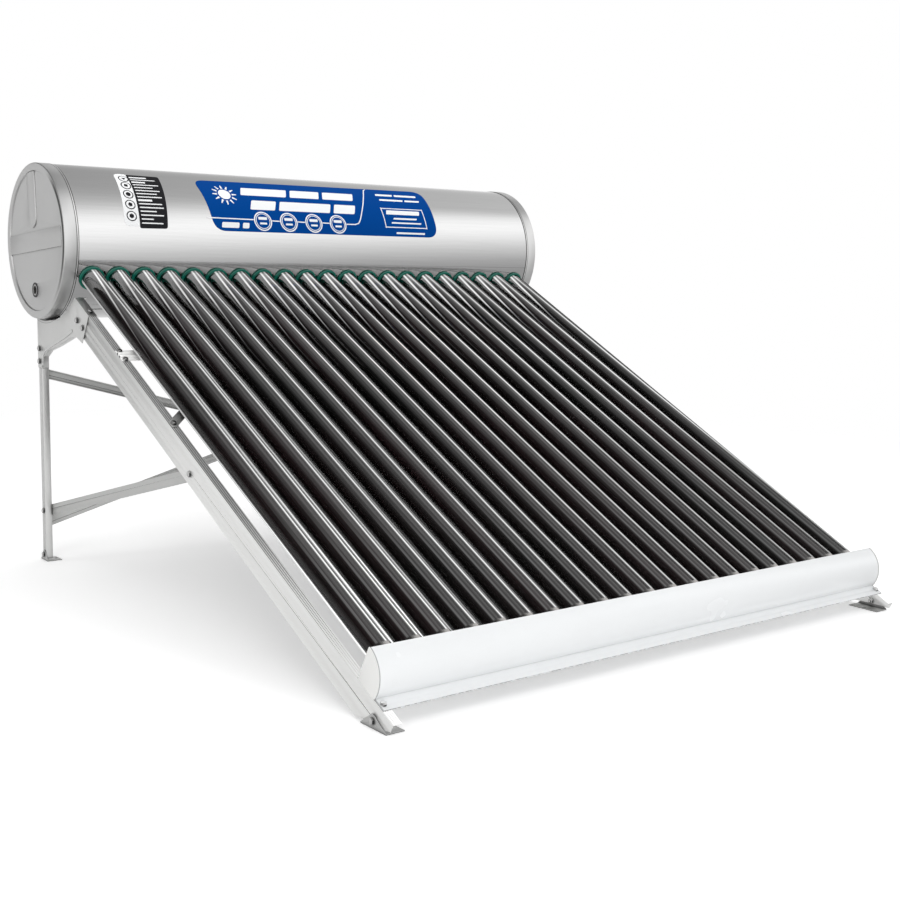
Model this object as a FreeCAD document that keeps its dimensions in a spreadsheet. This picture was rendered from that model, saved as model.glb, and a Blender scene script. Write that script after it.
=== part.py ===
import FreeCAD, Part
import math
import os

import Sketcher
from FreeCAD import Placement, Rotation, Vector

# Evacuated-tube solar water heater on a sloping stand.
# Row frame: origin on the ground under the middle of the tank, +X along the
# tank, -Y towards the low front end of the tubes, +Z up.  Millimetres.
#
# Axis frame: the row frame raised to the middle of the tank axis.
# Tilted frame: origin there too; its X is the row's X, its Y ("up") is the
# height above the plane of the tube axes, and its Z ("down") runs down along
# the tubes.  Side -1 is left (-X), side +1 is right (+X).

doc = FreeCAD.newDocument("SolarWaterHeater")
sheet = doc.addObject("Spreadsheet::Sheet", "Sizes")

SIZES = [
    # tubes
    ("tube_count", 21), ("tube_od", 58), ("tube_inner_od", 47), ("glass_wall", 1.6),
    ("tube_length", 1800), ("tube_pitch", 78), ("tube_open_end", 105), ("slope", 26.7),
    ("inner_tip_gap", 45),
    # tank
    ("tank_height", 952), ("tank_half", 866), ("shell_radius", 221), ("shell_wall", 0.6),
    ("shell_half", 862), ("cap_radius", 222.3), ("cap_skin", 1.2), ("cap_rim", 40),
    ("cap_recess", 4), ("cap_ring", 22), ("cap_corner", 3), ("inner_radius", 171.5),
    ("inner_wall", 1), ("inner_half", 834), ("inner_corner", 12), ("emboss_half", 27),
    ("emboss_tilt", 4.5), ("rib_front", -16), ("rib_rear", 40), ("rib_gap", 13),
    ("neck_hole", 32.5), ("foam_hole", 34.5), ("seal_hole", 31), ("seal_bore", 29.15),
    ("ring_bore", 29.2), ("ring_radius", 36.5), ("ring_height", 7), ("port_y", 15),
    ("port_drop", 140), ("port_hole", 19), ("socket_radius", 16), ("socket_bore", 12),
    ("socket_inset", 3), ("pipe_lap", 8), ("pipe_gap", 0.1), ("vent_radius", 10),
    ("vent_bore", 8), ("vent_reach", 246), ("vent_tip_radius", 9), ("vent_shoulder", 224),
    # rails and legs
    ("frame_x", 840), ("sheet_wall", 1.5), ("rail_drop", 36.2), ("rail_depth", 75),
    ("rail_flange", 22.5), ("rail_lower", 15), ("rail_lip", 4), ("rail_start", 290),
    ("rail_end", 1990), ("rail_clear", 8), ("swage_depth", 1.6), ("leg_front", 32),
    ("leg_rear", 58), ("leg_depth", 20), ("leg_top", 720), ("leg_clear", 6),
    ("leg_bolt_high", 640), ("leg_bolt_low", 602),
    # saddles
    ("saddle_wall", 2), ("saddle_lip", 32), ("saddle_seat", 727), ("saddle_base", 583),
    ("saddle_before", 18), ("saddle_beyond", 85), ("return_top", 640), ("sweep_depth", 16),
    ("bead_height", 1.4), ("stud_x", 814), ("stud_foot", 706),
    # braces
    ("brace_width", 32), ("brace_wall", 2), ("brace_x", 817.5), ("brace_leg_z", 152),
    ("brace_rail_s", 1060.3), ("brace_rail_drop", 84.2), ("strap_width", 28),
    ("strap_wall", 2), ("strap_lip", 6), ("strap_past", 8), ("strap_high", 565),
    ("strap_low", 112), ("strap_x", 826), ("cross_start", 560), ("cross_width", 52),
    ("cross_wall", 1.2), ("cross_rise", 5.4), ("cross_margin", 5.5), ("knee_s", 915),
    ("knee_x", 507), ("knee_width", 26), ("knee_wall", 1.5),
    # bolt places on the rails
    ("bolt_x", 829), ("saddle_bolt_drop", 84), ("saddle_bolt_high", 312.5),
    ("saddle_bolt_low", 354.5), ("flange_bolt_s", 355),
    # lower holder
    ("holder_s", 1853), ("holder_wall", 1.2), ("cover_radius", 67.5),
    ("cover_centre_s", 1850), ("cover_centre_drop", 19), ("holder_end", 1950),
    ("holder_half", 838.5), ("holder_bolt_s", 1933), ("holder_bolt_inset", 1),
    ("tray_foot", 57), ("tray_gap", 0.4), ("tray_end_gap", 0.2), ("end_margin", 0.8),
    ("end_wall", 2.4), ("cup_gap", 0.3), ("cup_wall", 1.5),
    # feet
    ("foot_wall", 2), ("foot_gap", 0.2), ("front_pivot_y", -1695), ("front_pivot_z", 16),
    ("rear_pivot_y", 45), ("rear_pivot_z", 18), ("foot_inner", 796), ("anchor_x", 806),
    ("anchor_radius", 4.5), ("foot_edge", 3),
    # fasteners
    ("bolt_radius", 4), ("bolt_clear", 4.4), ("pivot_clear", 4.08), ("hex_flats", 13),
    ("head_height", 5.3), ("nut_height", 6.5),
]


class Dimension:
    """A size: its present value and the sheet expression that drives it."""

    def __init__(self, value, text):
        self.value = float(value)
        self.text = text

    @staticmethod
    def of(other):
        if isinstance(other, Dimension):
            return other
        return Dimension(other, "(%s)" % repr(float(other)))

    def __add__(self, other):
        other = Dimension.of(other)
        return Dimension(self.value + other.value, "(%s + %s)" % (self.text, other.text))

    def __sub__(self, other):
        other = Dimension.of(other)
        return Dimension(self.value - other.value, "(%s - %s)" % (self.text, other.text))

    def __mul__(self, other):
        other = Dimension.of(other)
        return Dimension(self.value * other.value, "(%s * %s)" % (self.text, other.text))

    def __truediv__(self, other):
        other = Dimension.of(other)
        return Dimension(self.value / other.value, "(%s / %s)" % (self.text, other.text))

    def __radd__(self, other):
        return Dimension.of(other) + self

    def __rsub__(self, other):
        return Dimension.of(other) - self

    def __rmul__(self, other):
        return Dimension.of(other) * self

    def __neg__(self):
        return Dimension(-self.value, "(0 - %s)" % self.text)


class Names:
    """Holds the sizes as attributes."""


size = Names()     # each size as a Dimension, for bound features
plain = Names()    # each size as a number, for shapes set out in code
for row, (alias, value) in enumerate(SIZES, start=1):
    sheet.set("A%d" % row, alias.replace("_", " "))
    sheet.set("B%d" % row, str(value))
    sheet.setAlias("B%d" % row, alias)
    setattr(size, alias, Dimension(value, "Sizes.%s" % alias))
    setattr(plain, alias, float(value))
doc.recompute()

SIN = Dimension(math.sin(math.radians(plain.slope)), "sin(Sizes.slope * 1 deg)")
COS = Dimension(math.cos(math.radians(plain.slope)), "cos(Sizes.slope * 1 deg)")

pieces = []


def root(dimension):
    return Dimension(math.sqrt(dimension.value), "sqrt(%s)" % dimension.text)


def to_row(down, up):
    """Row (y, z) of a point given in the tilted frame."""
    return -(COS * down) - SIN * up, size.tank_height - SIN * down + COS * up


def to_tilted(y, rise):
    """Tilted (up, down) of a point at y, rising above the tank axis."""
    return -(SIN * y) + COS * rise, -(COS * y) - SIN * rise


# ------------------------------------------------ bodies, sketches, features
def drive(item, path, dimension):
    """Binds a property to the sheet, unless it is a plain number."""
    if "Sizes" in dimension.text:
        item.setExpression(path, dimension.text)


def new_body(label, frame="row", x=0):
    """A body in the row, axis or tilted frame, moved along X."""
    body = doc.addObject("PartDesign::Body", label)
    body.Label = label
    x = Dimension.of(x)
    height = 0.0 if frame == "row" else plain.tank_height
    angle = 90 + plain.slope if frame == "tilted" else 0.0
    body.Placement = Placement(Vector(x.value, 0, height), Rotation(Vector(1, 0, 0), angle))
    if frame != "row":
        drive(body, ".Placement.Base.z", size.tank_height)
    if frame == "tilted":
        drive(body, ".Placement.Rotation.Angle", 90 + size.slope)
    drive(body, ".Placement.Base.x", x)
    pieces.append(body)
    return body


def bind(sk, kind, geometry, point, value):
    """Fixes a point's distance from the sketch origin."""
    index = sk.addConstraint(Sketcher.Constraint(kind, -1, 1, geometry, point, value.value))
    drive(sk, "Constraints[%d]" % index, value)


def add_edge(sk, corner, following):
    """Adds the edge leaving a corner; returns it with its start and end points."""
    x, y, ahead_x, ahead_y = [d.value for d in (*corner[:2], *following[:2])]
    if len(corner) == 2:
        line = Part.LineSegment(Vector(x, y, 0), Vector(ahead_x, ahead_y, 0))
        return sk.addGeometry(line, False), 1, 2
    centre_x, centre_y, turn = corner[2].value, corner[3].value, corner[4]
    radius = math.hypot(x - centre_x, y - centre_y)
    circle = Part.Circle(Vector(centre_x, centre_y, 0), Vector(0, 0, 1), radius)
    first = math.atan2(y - centre_y, x - centre_x)
    last = math.atan2(ahead_y - centre_y, ahead_x - centre_x)
    if turn < 0:
        first, last = last, first
    if last <= first:
        last += 2 * math.pi
    geometry = sk.addGeometry(Part.ArcOfCircle(circle, first, last), False)
    return (geometry, 1, 2) if turn > 0 else (geometry, 2, 1)


def add_loop(sk, loop):
    corners = [[Dimension.of(c) for c in corner[:4]] + list(corner[4:]) for corner in loop]
    followers = corners[1:] + corners[:1]
    edges = [add_edge(sk, corner, ahead) for corner, ahead in zip(corners, followers)]
    for (edge, _, end), (ahead, start, _) in zip(edges, edges[1:] + edges[:1]):
        sk.addConstraint(Sketcher.Constraint("Coincident", edge, end, ahead, start))
    for corner, ahead, (edge, start, _) in zip(corners, followers, edges):
        bind(sk, "DistanceX", edge, start, corner[0])
        bind(sk, "DistanceY", edge, start, corner[1])
        if len(corner) > 2:
            # one more distance is enough to place an arc's centre
            if abs(ahead[0].value - corner[0].value) > 1e-6:
                bind(sk, "DistanceY", edge, 3, corner[3])
            else:
                bind(sk, "DistanceX", edge, 3, corner[2])


def add_circle(sk, x, y, radius):
    x, y, radius = Dimension.of(x), Dimension.of(y), Dimension.of(radius)
    circle = Part.Circle(Vector(x.value, y.value, 0), Vector(0, 0, 1), radius.value)
    geometry = sk.addGeometry(circle, False)
    bind(sk, "DistanceX", geometry, 3, x)
    bind(sk, "DistanceY", geometry, 3, y)
    index = sk.addConstraint(Sketcher.Constraint("Radius", geometry, radius.value))
    drive(sk, "Constraints[%d]" % index, radius)


def sketch(body, name, plane, loop=(), circles=(), offset=0, turn=0, tilt=None):
    """A fully bound sketch.  The loop is a list of (x, y) corners; a corner
    (x, y, cx, cy, turn) is joined to the next one by an arc about (cx, cy),
    anticlockwise for turn +1.  A circle is (x, y, radius).  The sketch is
    offset along the plane's normal and turned about it, or, for a tilt of
    (y, z, angle), moved there and turned about X."""
    sk = body.newObject("Sketcher::SketchObject", body.Label.title().replace("_", "") + name)
    role = plane + "_Plane"
    support = next(f for f in body.Origin.OriginFeatures if f.Role == role)
    sk.AttachmentSupport = [(support, "")]
    sk.MapMode = "FlatFace"
    if tilt is None:
        y, z, angle, axis = 0, offset, turn, Vector(0, 0, 1)
    else:
        y, z, angle = tilt
        axis = Vector(1, 0, 0)
    y, z, angle = Dimension.of(y), Dimension.of(z), Dimension.of(angle)
    sk.AttachmentOffset = Placement(Vector(0, y.value, z.value), Rotation(axis, angle.value))
    drive(sk, ".AttachmentOffset.Base.y", y)
    drive(sk, ".AttachmentOffset.Base.z", z)
    drive(sk, ".AttachmentOffset.Rotation.Angle", angle)
    if loop:
        add_loop(sk, loop)
    for circle in circles:
        add_circle(sk, *circle)
    return sk


def extrude(kind, body, sk, length, reverse):
    feature = body.newObject("PartDesign::" + kind, sk.Name + kind)
    feature.Profile = sk
    length = Dimension.of(length)
    feature.Length = length.value
    drive(feature, "Length", length)
    feature.Reversed = reverse
    body.Tip = feature


def pad(body, name, plane, length, reverse=False, **drawing):
    extrude("Pad", body, sketch(body, name, plane, **drawing), length, reverse)


def cut(body, name, plane, depth, along=False, **drawing):
    """Cuts against the sketch normal, or along it when asked."""
    extrude("Pocket", body, sketch(body, name, plane, **drawing), depth, along)


def pad_side(body, name, side, start, length, inward=False, **drawing):
    """Pads a YZ drawing away from the middle, or towards it."""
    pad(body, name, "YZ", length, reverse=(side < 0) != inward, offset=side * start, **drawing)


def cut_side(body, name, side, start, depth, **drawing):
    """Cuts a YZ drawing from its start towards the middle."""
    cut(body, name, "YZ", depth, along=side < 0, offset=side * start, **drawing)


def revolve(body, name, plane, axis, loop):
    sk = sketch(body, name, plane, loop=loop)
    feature = body.newObject("PartDesign::Revolution", sk.Name + "Turn")
    feature.Profile = sk
    feature.ReferenceAxis = (sk, [axis])
    feature.Angle = 360
    body.Tip = feature


def mirrored(side, corners):
    """Corners drawn for the right, put on the given side."""
    result = []
    for x, y, *arc in corners:
        if arc:
            centre_x, centre_y, turn = arc
            result.append((side * x, y, side * centre_x, centre_y, side * turn))
        else:
            result.append((side * x, y))
    return result


def bolt_holes(*centres):
    return [(x, y, size.bolt_clear) for x, y in centres]


# ---------------------------------------------------------------- glass tubes
TUBES = range(1, int(plain.tube_count) + 1)
TUBE_RADIUS = size.tube_od / 2
TUBE_TIP = size.tube_open_end + size.tube_length


def tube_x(number):
    return (number - (size.tube_count + 1) / 2) * size.tube_pitch


def neck_circles(radius):
    return [(tube_x(number), 0, radius) for number in TUBES]


def glass_tube(number):
    """A double-walled flask: the wall between bore and outside is closed over
    at the open end, and the space between the walls is a sealed vacuum."""
    body = new_body("tube_%02d" % number, "tilted", tube_x(number))
    wall = size.glass_wall
    inner_radius = size.tube_inner_od / 2
    bore = inner_radius - wall
    rim = (TUBE_RADIUS - bore) / 2
    space = (TUBE_RADIUS - wall - inner_radius) / 2
    rim_centre = size.tube_open_end + rim
    dome = TUBE_TIP - TUBE_RADIUS
    inner_dome = TUBE_TIP - size.inner_tip_gap
    revolve(body, "Profile", "XZ", "V_Axis", [
        (0, TUBE_TIP, 0, dome, -1),
        (TUBE_RADIUS, dome),
        (TUBE_RADIUS, rim_centre, TUBE_RADIUS - rim, rim_centre, -1),
        (bore, rim_centre),
        (bore, inner_dome, 0, inner_dome, 1),
        (0, inner_dome + bore),
        (0, inner_dome + inner_radius, 0, inner_dome, -1),
        (inner_radius, inner_dome),
        (inner_radius, rim_centre, inner_radius + space, rim_centre, 1),
        (TUBE_RADIUS - wall, rim_centre),
        (TUBE_RADIUS - wall, dome, 0, dome, 1),
        (0, TUBE_TIP - wall)])


for number in TUBES:
    glass_tube(number)

# ------------------------------------------------------------------ the tank
PORT = to_tilted(size.port_y, -size.port_drop)
CAP_FACE = size.tank_half - size.cap_recess
VENT_CLEAR = size.vent_radius + size.pipe_gap


def drum(inset):
    """Half section of the round-cornered inner tank, right end to left end."""
    end, top = size.inner_half - inset, size.inner_radius - inset
    flat = size.inner_half - size.inner_corner
    bend = size.inner_radius - size.inner_corner
    return [(end, 0), (end, bend, flat, bend, 1), (flat, top),
            (-flat, top, -flat, bend, 1), (-end, bend), (-end, 0)]


def tank_shell():
    body = new_body("tank_shell", "tilted")
    radius = size.shell_radius
    pad(body, "Ring", "YZ", 2 * size.shell_half, offset=-size.shell_half,
        circles=[(0, 0, radius), (0, 0, radius - size.shell_wall)])
    cut(body, "Necks", "XY", radius + 10, along=True, circles=neck_circles(size.neck_hole))
    cut(body, "Vent", "XY", radius + 10, circles=[(0, 0, VENT_CLEAR)])


def inner_tank():
    body = new_body("inner_tank", "tilted")
    depth = size.inner_radius + 10
    revolve(body, "Wall", "XY", "H_Axis", mirrored(-1, drum(0)) + drum(size.inner_wall))
    cut(body, "Necks", "XY", depth, along=True, circles=neck_circles(size.seal_hole))
    cut(body, "Vent", "XY", depth, circles=[(0, 0, size.vent_radius)])
    cut(body, "Ports", "YZ", 2 * size.inner_half + 40, along=True,
        offset=-size.inner_half - 20, circles=[(*PORT, size.socket_radius)])


def tank_insulation():
    body = new_body("tank_insulation", "tilted")
    end = CAP_FACE - size.cap_skin
    radius = size.shell_radius - size.shell_wall
    revolve(body, "Section", "XY", "H_Axis",
            [(-end, 0), (-end, radius), (end, radius), (end, 0)] + drum(0))
    cut(body, "Necks", "XY", radius + 10, along=True, circles=neck_circles(size.foam_hole))
    cut(body, "Vent", "XY", radius + 10, circles=[(0, 0, VENT_CLEAR)])
    cut(body, "Ports", "YZ", 2 * end + 40, along=True, offset=-end - 20,
        circles=[(*PORT, size.socket_radius + size.pipe_gap)])


def end_cap(label, side):
    """A pressed end cap: rim sleeve over the shell, rounded edge, recessed
    disc, and a raised cross band and upright rib level with the rim."""
    body = new_body(label, "axis")
    skin, end, radius = size.cap_skin, size.tank_half, size.cap_radius
    ring = radius - size.cap_ring
    corner_x, corner_radius = end - size.cap_corner, radius - size.cap_corner
    sleeve_x = end - size.cap_rim
    # the step between disc and rim slopes, so its radii differ by a little
    revolve(body, "Section", "XY", "H_Axis", mirrored(side, [
        (CAP_FACE, 0), (CAP_FACE, ring - 1.5), (end, ring),
        (end, corner_radius, corner_x, corner_radius, 1),
        (corner_x, radius), (sleeve_x, radius), (sleeve_x, radius - skin),
        (corner_x, radius - skin), (end - skin, corner_radius), (end - skin, ring + 1.0),
        (CAP_FACE - skin, ring - 0.5), (CAP_FACE - skin, 0)]))

    emboss_radius = ring - 1.6

    def on_rim(offset):
        return root(emboss_radius * emboss_radius - offset * offset)

    half = size.emboss_half
    edge = on_rim(half)
    band = [(-edge, -half), (edge, -half), (emboss_radius, 0),
            (edge, half), (-edge, half), (-emboss_radius, 0)]
    # the upright rib ends in a round foot, clear of the cross band
    front, rear = size.rib_front, size.rib_rear
    middle = (front + rear) / 2
    foot_z = half + size.rib_gap + (rear - front) / 2
    rib = [(front, on_rim(front)), (front, foot_z, middle, foot_z, 1), (rear, foot_z),
           (rear, on_rim(rear)), (middle, on_rim(middle))]
    for name, loop in (("Band", band), ("Rib", rib)):
        pad_side(body, name, side, CAP_FACE, size.cap_recess, loop=loop, turn=-size.emboss_tilt)
    cut_side(body, "Port", side, end + 5, depth=30,
             circles=[(size.port_y, -size.port_drop, size.port_hole)])


def socket(label, side):
    """Threaded water socket welded into the inner tank's head."""
    body = new_body(label, "axis")
    start = size.inner_half - size.pipe_lap
    pad_side(body, "Ring", side, start, size.tank_half - size.socket_inset - start, circles=[
        (size.port_y, -size.port_drop, size.socket_radius),
        (size.port_y, -size.port_drop, size.socket_bore)])


def vent_pipe():
    body = new_body("vent_pipe", "tilted")
    pad(body, "PipeRing", "XY", size.vent_shoulder - (size.inner_radius - size.pipe_lap),
        offset=-size.vent_shoulder,
        circles=[(0, 0, size.vent_radius), (0, 0, size.vent_bore)])
    pad(body, "TipRing", "XY", size.vent_reach - size.vent_shoulder, offset=-size.vent_reach,
        circles=[(0, 0, size.vent_tip_radius), (0, 0, size.vent_bore)])


tank_shell()
inner_tank()
tank_insulation()
end_cap("end_cap_left", -1)
end_cap("end_cap_right", 1)
socket("cold_inlet_socket", -1)
socket("hot_outlet_socket", 1)
vent_pipe()

# ----------------------------------------------------------- rails and legs
FRAME_OUTSIDE = size.frame_x + 5    # where cuts into the frame's webs start
FRONT_PIVOT = to_tilted(size.front_pivot_y, size.front_pivot_z - size.tank_height)
LEG_MIDDLE = (size.leg_front + size.leg_rear) / 2
CROSS_HIGH_BOLT = size.cross_start + size.cross_margin
CROSS_LOW_BOLT = size.cross_start + size.cross_width - size.cross_margin
HOLDER_BOLT_X = size.bolt_x - size.holder_bolt_inset


def drill_flange(body, *centres, start=size.rail_drop - 5, depth=12):
    """Bolt holes at (x, down), square to the rails' upper flanges."""
    cut(body, "FlangeHoles", "XZ", depth, along=True, offset=start,
        circles=bolt_holes(*centres))


def rail(label, side):
    """C-section rail with two shallow swages in its web, trimmed to clear the
    ground at its lower corner."""
    body = new_body(label, "tilted")
    wall, outer_x = size.sheet_wall, size.frame_x
    flange_x, lower_x = outer_x - size.rail_flange, outer_x - size.rail_lower
    top = -size.rail_drop
    bottom = -(size.rail_drop + size.rail_depth)
    swage = size.swage_depth
    # depth into the web, height
    web = [(0, top - 17), (swage, top - 20), (swage, top - 25), (0, top - 28),
           (0, bottom + 16), (swage, bottom + 13), (swage, bottom + 8), (0, bottom + 5)]
    outside = [(flange_x, top), (outer_x, top)]
    outside += [(outer_x - inset, up) for inset, up in web]
    outside += [(outer_x, bottom), (lower_x, bottom), (lower_x, bottom + size.rail_lip)]
    inside = [(lower_x + wall, bottom + size.rail_lip), (lower_x + wall, bottom + wall),
              (outer_x - wall, bottom + wall)]
    inside += [(outer_x - inset - wall, up) for inset, up in reversed(web)]
    inside += [(outer_x - wall, top - wall), (flange_x, top - wall)]
    pad(body, "Section", "XY", size.rail_end - size.rail_start,
        loop=mirrored(side, outside + inside), offset=size.rail_start)

    def ground(up):
        """Distance down the tubes where this height just clears the ground."""
        return (size.tank_height - size.rail_clear + COS * up) / SIN

    low, high, past = bottom - 10, top - 8, size.rail_end + 60
    cut_side(body, "Trim", side, FRAME_OUTSIDE, depth=50,
             loop=[(low, ground(low)), (high, ground(high)), (high, past), (low, past)])
    cut_side(body, "WebHoles", side, FRAME_OUTSIDE, depth=10, circles=bolt_holes(
        (-size.saddle_bolt_drop, size.saddle_bolt_high),
        (-size.saddle_bolt_drop, size.saddle_bolt_low),
        (-size.brace_rail_drop, size.brace_rail_s), FRONT_PIVOT))
    bolt_x = side * size.bolt_x
    drill_flange(body, (bolt_x, size.flange_bolt_s), (bolt_x, CROSS_HIGH_BOLT),
                 (bolt_x, CROSS_LOW_BOLT), (bolt_x, size.knee_s),
                 (side * HOLDER_BOLT_X, size.holder_bolt_s))


def leg(label, side):
    """Rear upright: a slender channel, open towards the middle."""
    body = new_body(label)
    front, rear, wall = size.leg_front, size.leg_rear, size.sheet_wall
    outer_x = size.frame_x
    inner_x = outer_x - size.leg_depth
    pad(body, "Section", "XY", size.leg_top - size.leg_clear, offset=size.leg_clear,
        loop=mirrored(side, [
            (inner_x, front), (outer_x, front), (outer_x, rear), (inner_x, rear),
            (inner_x, rear - wall), (outer_x - wall, rear - wall),
            (outer_x - wall, front + wall), (inner_x, front + wall)]))
    heights = (size.leg_bolt_high, size.leg_bolt_low, size.brace_leg_z, size.rear_pivot_z)
    cut_side(body, "WebHoles", side, FRAME_OUTSIDE, depth=10,
             circles=bolt_holes(*[(LEG_MIDDLE, z) for z in heights]))
    cut(body, "RearHoles", "XZ", depth=10, along=True, offset=-(rear + 5), circles=bolt_holes(
        (side * size.strap_x, size.strap_high), (side * size.strap_x, size.strap_low)))


# ---------------------------------------------------------------- saddles
# y, rise above the seat: top edge of the saddle under the tank
SADDLE_CURVE = [(-48, 0), (-84, 3.5), (-118, 12), (-152, 25), (-186, 42)]
# y, z: lower edge of the saddle's plate, front to rear
SADDLE_LOWER = [(-273, 675), (-232, 690), (-196, 688), (-142, 671), (-68, 650), (-16, 637),
                (14, 618)]
SWEPT_EDGE = SADDLE_LOWER[2:]
# y, z: outline of the bead
SADDLE_BEAD = [(27, 592), (22, 622), (4, 640), (-60, 662), (-140, 686), (-205, 709),
               (-207.5, 702), (-143, 678.5), (-63, 654.5), (0, 633), (15, 618), (19, 592)]


def lowered(curve, depth):
    """The curve moved down square to itself; its first point moves straight down."""
    points = [(Dimension.of(y), Dimension.of(z)) for y, z in curve]
    result = [(points[0][0], points[0][1] - depth)]
    for before, (y, z), after in zip(points, points[1:], points[2:] + points[-1:]):
        run_y = after[0].value - before[0].value
        run_z = after[1].value - before[1].value
        length = math.hypot(run_y, run_z)
        result.append((y + -run_z / length * depth, z + run_y / length * depth))
    return result


def saddle(label, side):
    """Pressed bracket joining tank, rear leg and rail: a side plate, a curved
    lip under the tank, a flange over the rail, and a strengthening bead."""
    body = new_body(label)
    wall, plate_x = size.saddle_wall, size.frame_x
    seat, base, front, rear = size.saddle_seat, size.saddle_base, size.leg_front, size.leg_rear
    flange_low = -size.rail_drop
    flange_top = flange_low + wall
    high_end = size.rail_start - size.saddle_before
    low_end = size.rail_start + size.saddle_beyond
    curve = [(rear, seat)] + [(y, seat + rise) for y, rise in SADDLE_CURVE]
    curve.append(to_row(high_end, flange_top))
    pad_side(body, "Plate", side, plate_x, wall, loop=[
        *curve, to_row(low_end, flange_top), *SADDLE_LOWER,
        (front - wall, 600), (front - wall, base), (rear, base)])
    pad_side(body, "Lip", side, plate_x, size.saddle_lip, inward=True,
             loop=curve + lowered(curve, wall)[::-1])
    pad_side(body, "Flange", side, plate_x, size.rail_flange, inward=True, loop=[
        to_row(high_end, flange_top), to_row(low_end, flange_top),
        to_row(low_end, flange_low), to_row(high_end, flange_low)])
    # return flange in front of the leg
    pad_side(body, "Return", side, plate_x, size.leg_depth, inward=True, loop=[
        (front - wall, base), (front, base), (front, size.return_top),
        (front - wall, size.return_top)])
    # lower return along the swept edge
    pad_side(body, "Sweep", side, plate_x, size.sweep_depth, inward=True,
             loop=SWEPT_EDGE + [(y + 0.4, z + wall) for y, z in reversed(SWEPT_EDGE)])
    pad_side(body, "Bead", side, plate_x + wall, size.bead_height, loop=SADDLE_BEAD)
    drop = -size.saddle_bolt_drop
    cut_side(body, "Holes", side, plate_x + wall + 5, depth=10, circles=bolt_holes(
        (LEG_MIDDLE, size.leg_bolt_high), (LEG_MIDDLE, size.leg_bolt_low),
        to_row(size.saddle_bolt_high, drop), to_row(size.saddle_bolt_low, drop)))
    cut(body, "StudHole", "XY", depth=12, offset=seat + 3,
        circles=bolt_holes((side * size.stud_x, 0)))
    # hole in the sloping flange, drilled square to it
    cut(body, "FlangeHole", "XY", depth=8, circles=bolt_holes((side * size.bolt_x, 0)),
        tilt=(*to_row(size.flange_bolt_s, flange_top + 3), size.slope))


# ------------------------------------------------------- side and rear braces
def bar(start, end, half, before, beyond):
    """Corners of a straight bar of the given half width about the line from
    start to end, running past both."""
    start_x, start_y, end_x, end_y = [Dimension.of(c) for c in (*start, *end)]
    run_x, run_y = end_x - start_x, end_y - start_y
    length = root(run_x * run_x + run_y * run_y)
    unit_x, unit_y = run_x / length, run_y / length
    near_x, near_y = start_x - unit_x * before, start_y - unit_y * before
    far_x, far_y = end_x + unit_x * beyond, end_y + unit_y * beyond
    return [(near_x + unit_y * half, near_y - unit_x * half),
            (far_x + unit_y * half, far_y - unit_x * half),
            (far_x - unit_y * half, far_y + unit_x * half),
            (near_x - unit_y * half, near_y + unit_x * half)]


def side_brace(label, side):
    """Flat bar from the foot of the leg to the rail, inside both."""
    body = new_body(label)
    ends = ((LEG_MIDDLE, size.brace_leg_z), to_row(size.brace_rail_s, -size.brace_rail_drop))
    pad_side(body, "Bar", side, size.brace_x, size.brace_wall,
             loop=bar(*ends, size.brace_width / 2, before=12, beyond=16))
    cut_side(body, "Holes", side, size.brace_x + 6, depth=12, circles=bolt_holes(*ends))


def rear_brace(label, z_left, z_right, y_face, lips_rearward):
    """Lipped strap between the two legs.  y_face is its rear face; the lips
    point to the rear or to the front."""
    body = new_body(label)
    wall, lip, past = size.strap_wall, size.strap_lip, size.strap_past
    half = size.strap_width / 2
    left, right = (-size.strap_x, z_left), (size.strap_x, z_right)
    outer = bar(left, right, half, past, past)
    inner = bar(left, right, half - wall, past, past)
    pad(body, "Strap", "XZ", wall, loop=outer, offset=-y_face)
    lip_start = y_face + lip if lips_rearward else y_face
    for near, far in ((0, 1), (3, 2)):
        pad(body, "Lip%d" % near, "XZ", lip + wall, offset=-lip_start,
            loop=[outer[near], outer[far], inner[far], inner[near]])
    cut(body, "Holes", "XZ", depth=24, along=True, offset=-(y_face + 10),
        circles=bolt_holes(left, right, (0, (z_left + z_right) / 2)))


for build in (rail, leg, saddle, side_brace):
    for word, side in (("left", -1), ("right", 1)):
        build("%s_%s" % (build.__name__, word), side)
rear_brace("rear_brace_rising", size.strap_low, size.strap_high,
           size.leg_rear + size.strap_wall, lips_rearward=True)
rear_brace("rear_brace_falling", size.strap_high, size.strap_low,
           size.leg_rear - size.sheet_wall, lips_rearward=False)


# ------------------------------------------------ braces on top of the rails
def upper_cross_rail():
    """Strip across both rails, pressed with two ridges along its length."""
    body = new_body("upper_cross_rail", "tilted")
    rise = size.cross_rise
    # height above the rail, distance from the strip's upper edge
    wave = [(0, 0), (0, 14), (rise, 17.5), (rise, 20.5), (0, 24), (0, 28), (rise, 31.5),
            (rise, 34.5), (0, 38), (0, size.cross_width)]
    under = [(up - size.rail_drop, size.cross_start + down) for up, down in wave]
    over = [(up + size.cross_wall, down) for up, down in under]
    pad(body, "Section", "YZ", 2 * size.frame_x, loop=under + over[::-1], offset=-size.frame_x)
    drill_flange(body, *[(side * x, down) for side in (-1, 1) for x, down in (
        (size.bolt_x, CROSS_HIGH_BOLT), (size.bolt_x, CROSS_LOW_BOLT),
        (size.knee_x, CROSS_LOW_BOLT))])


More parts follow.
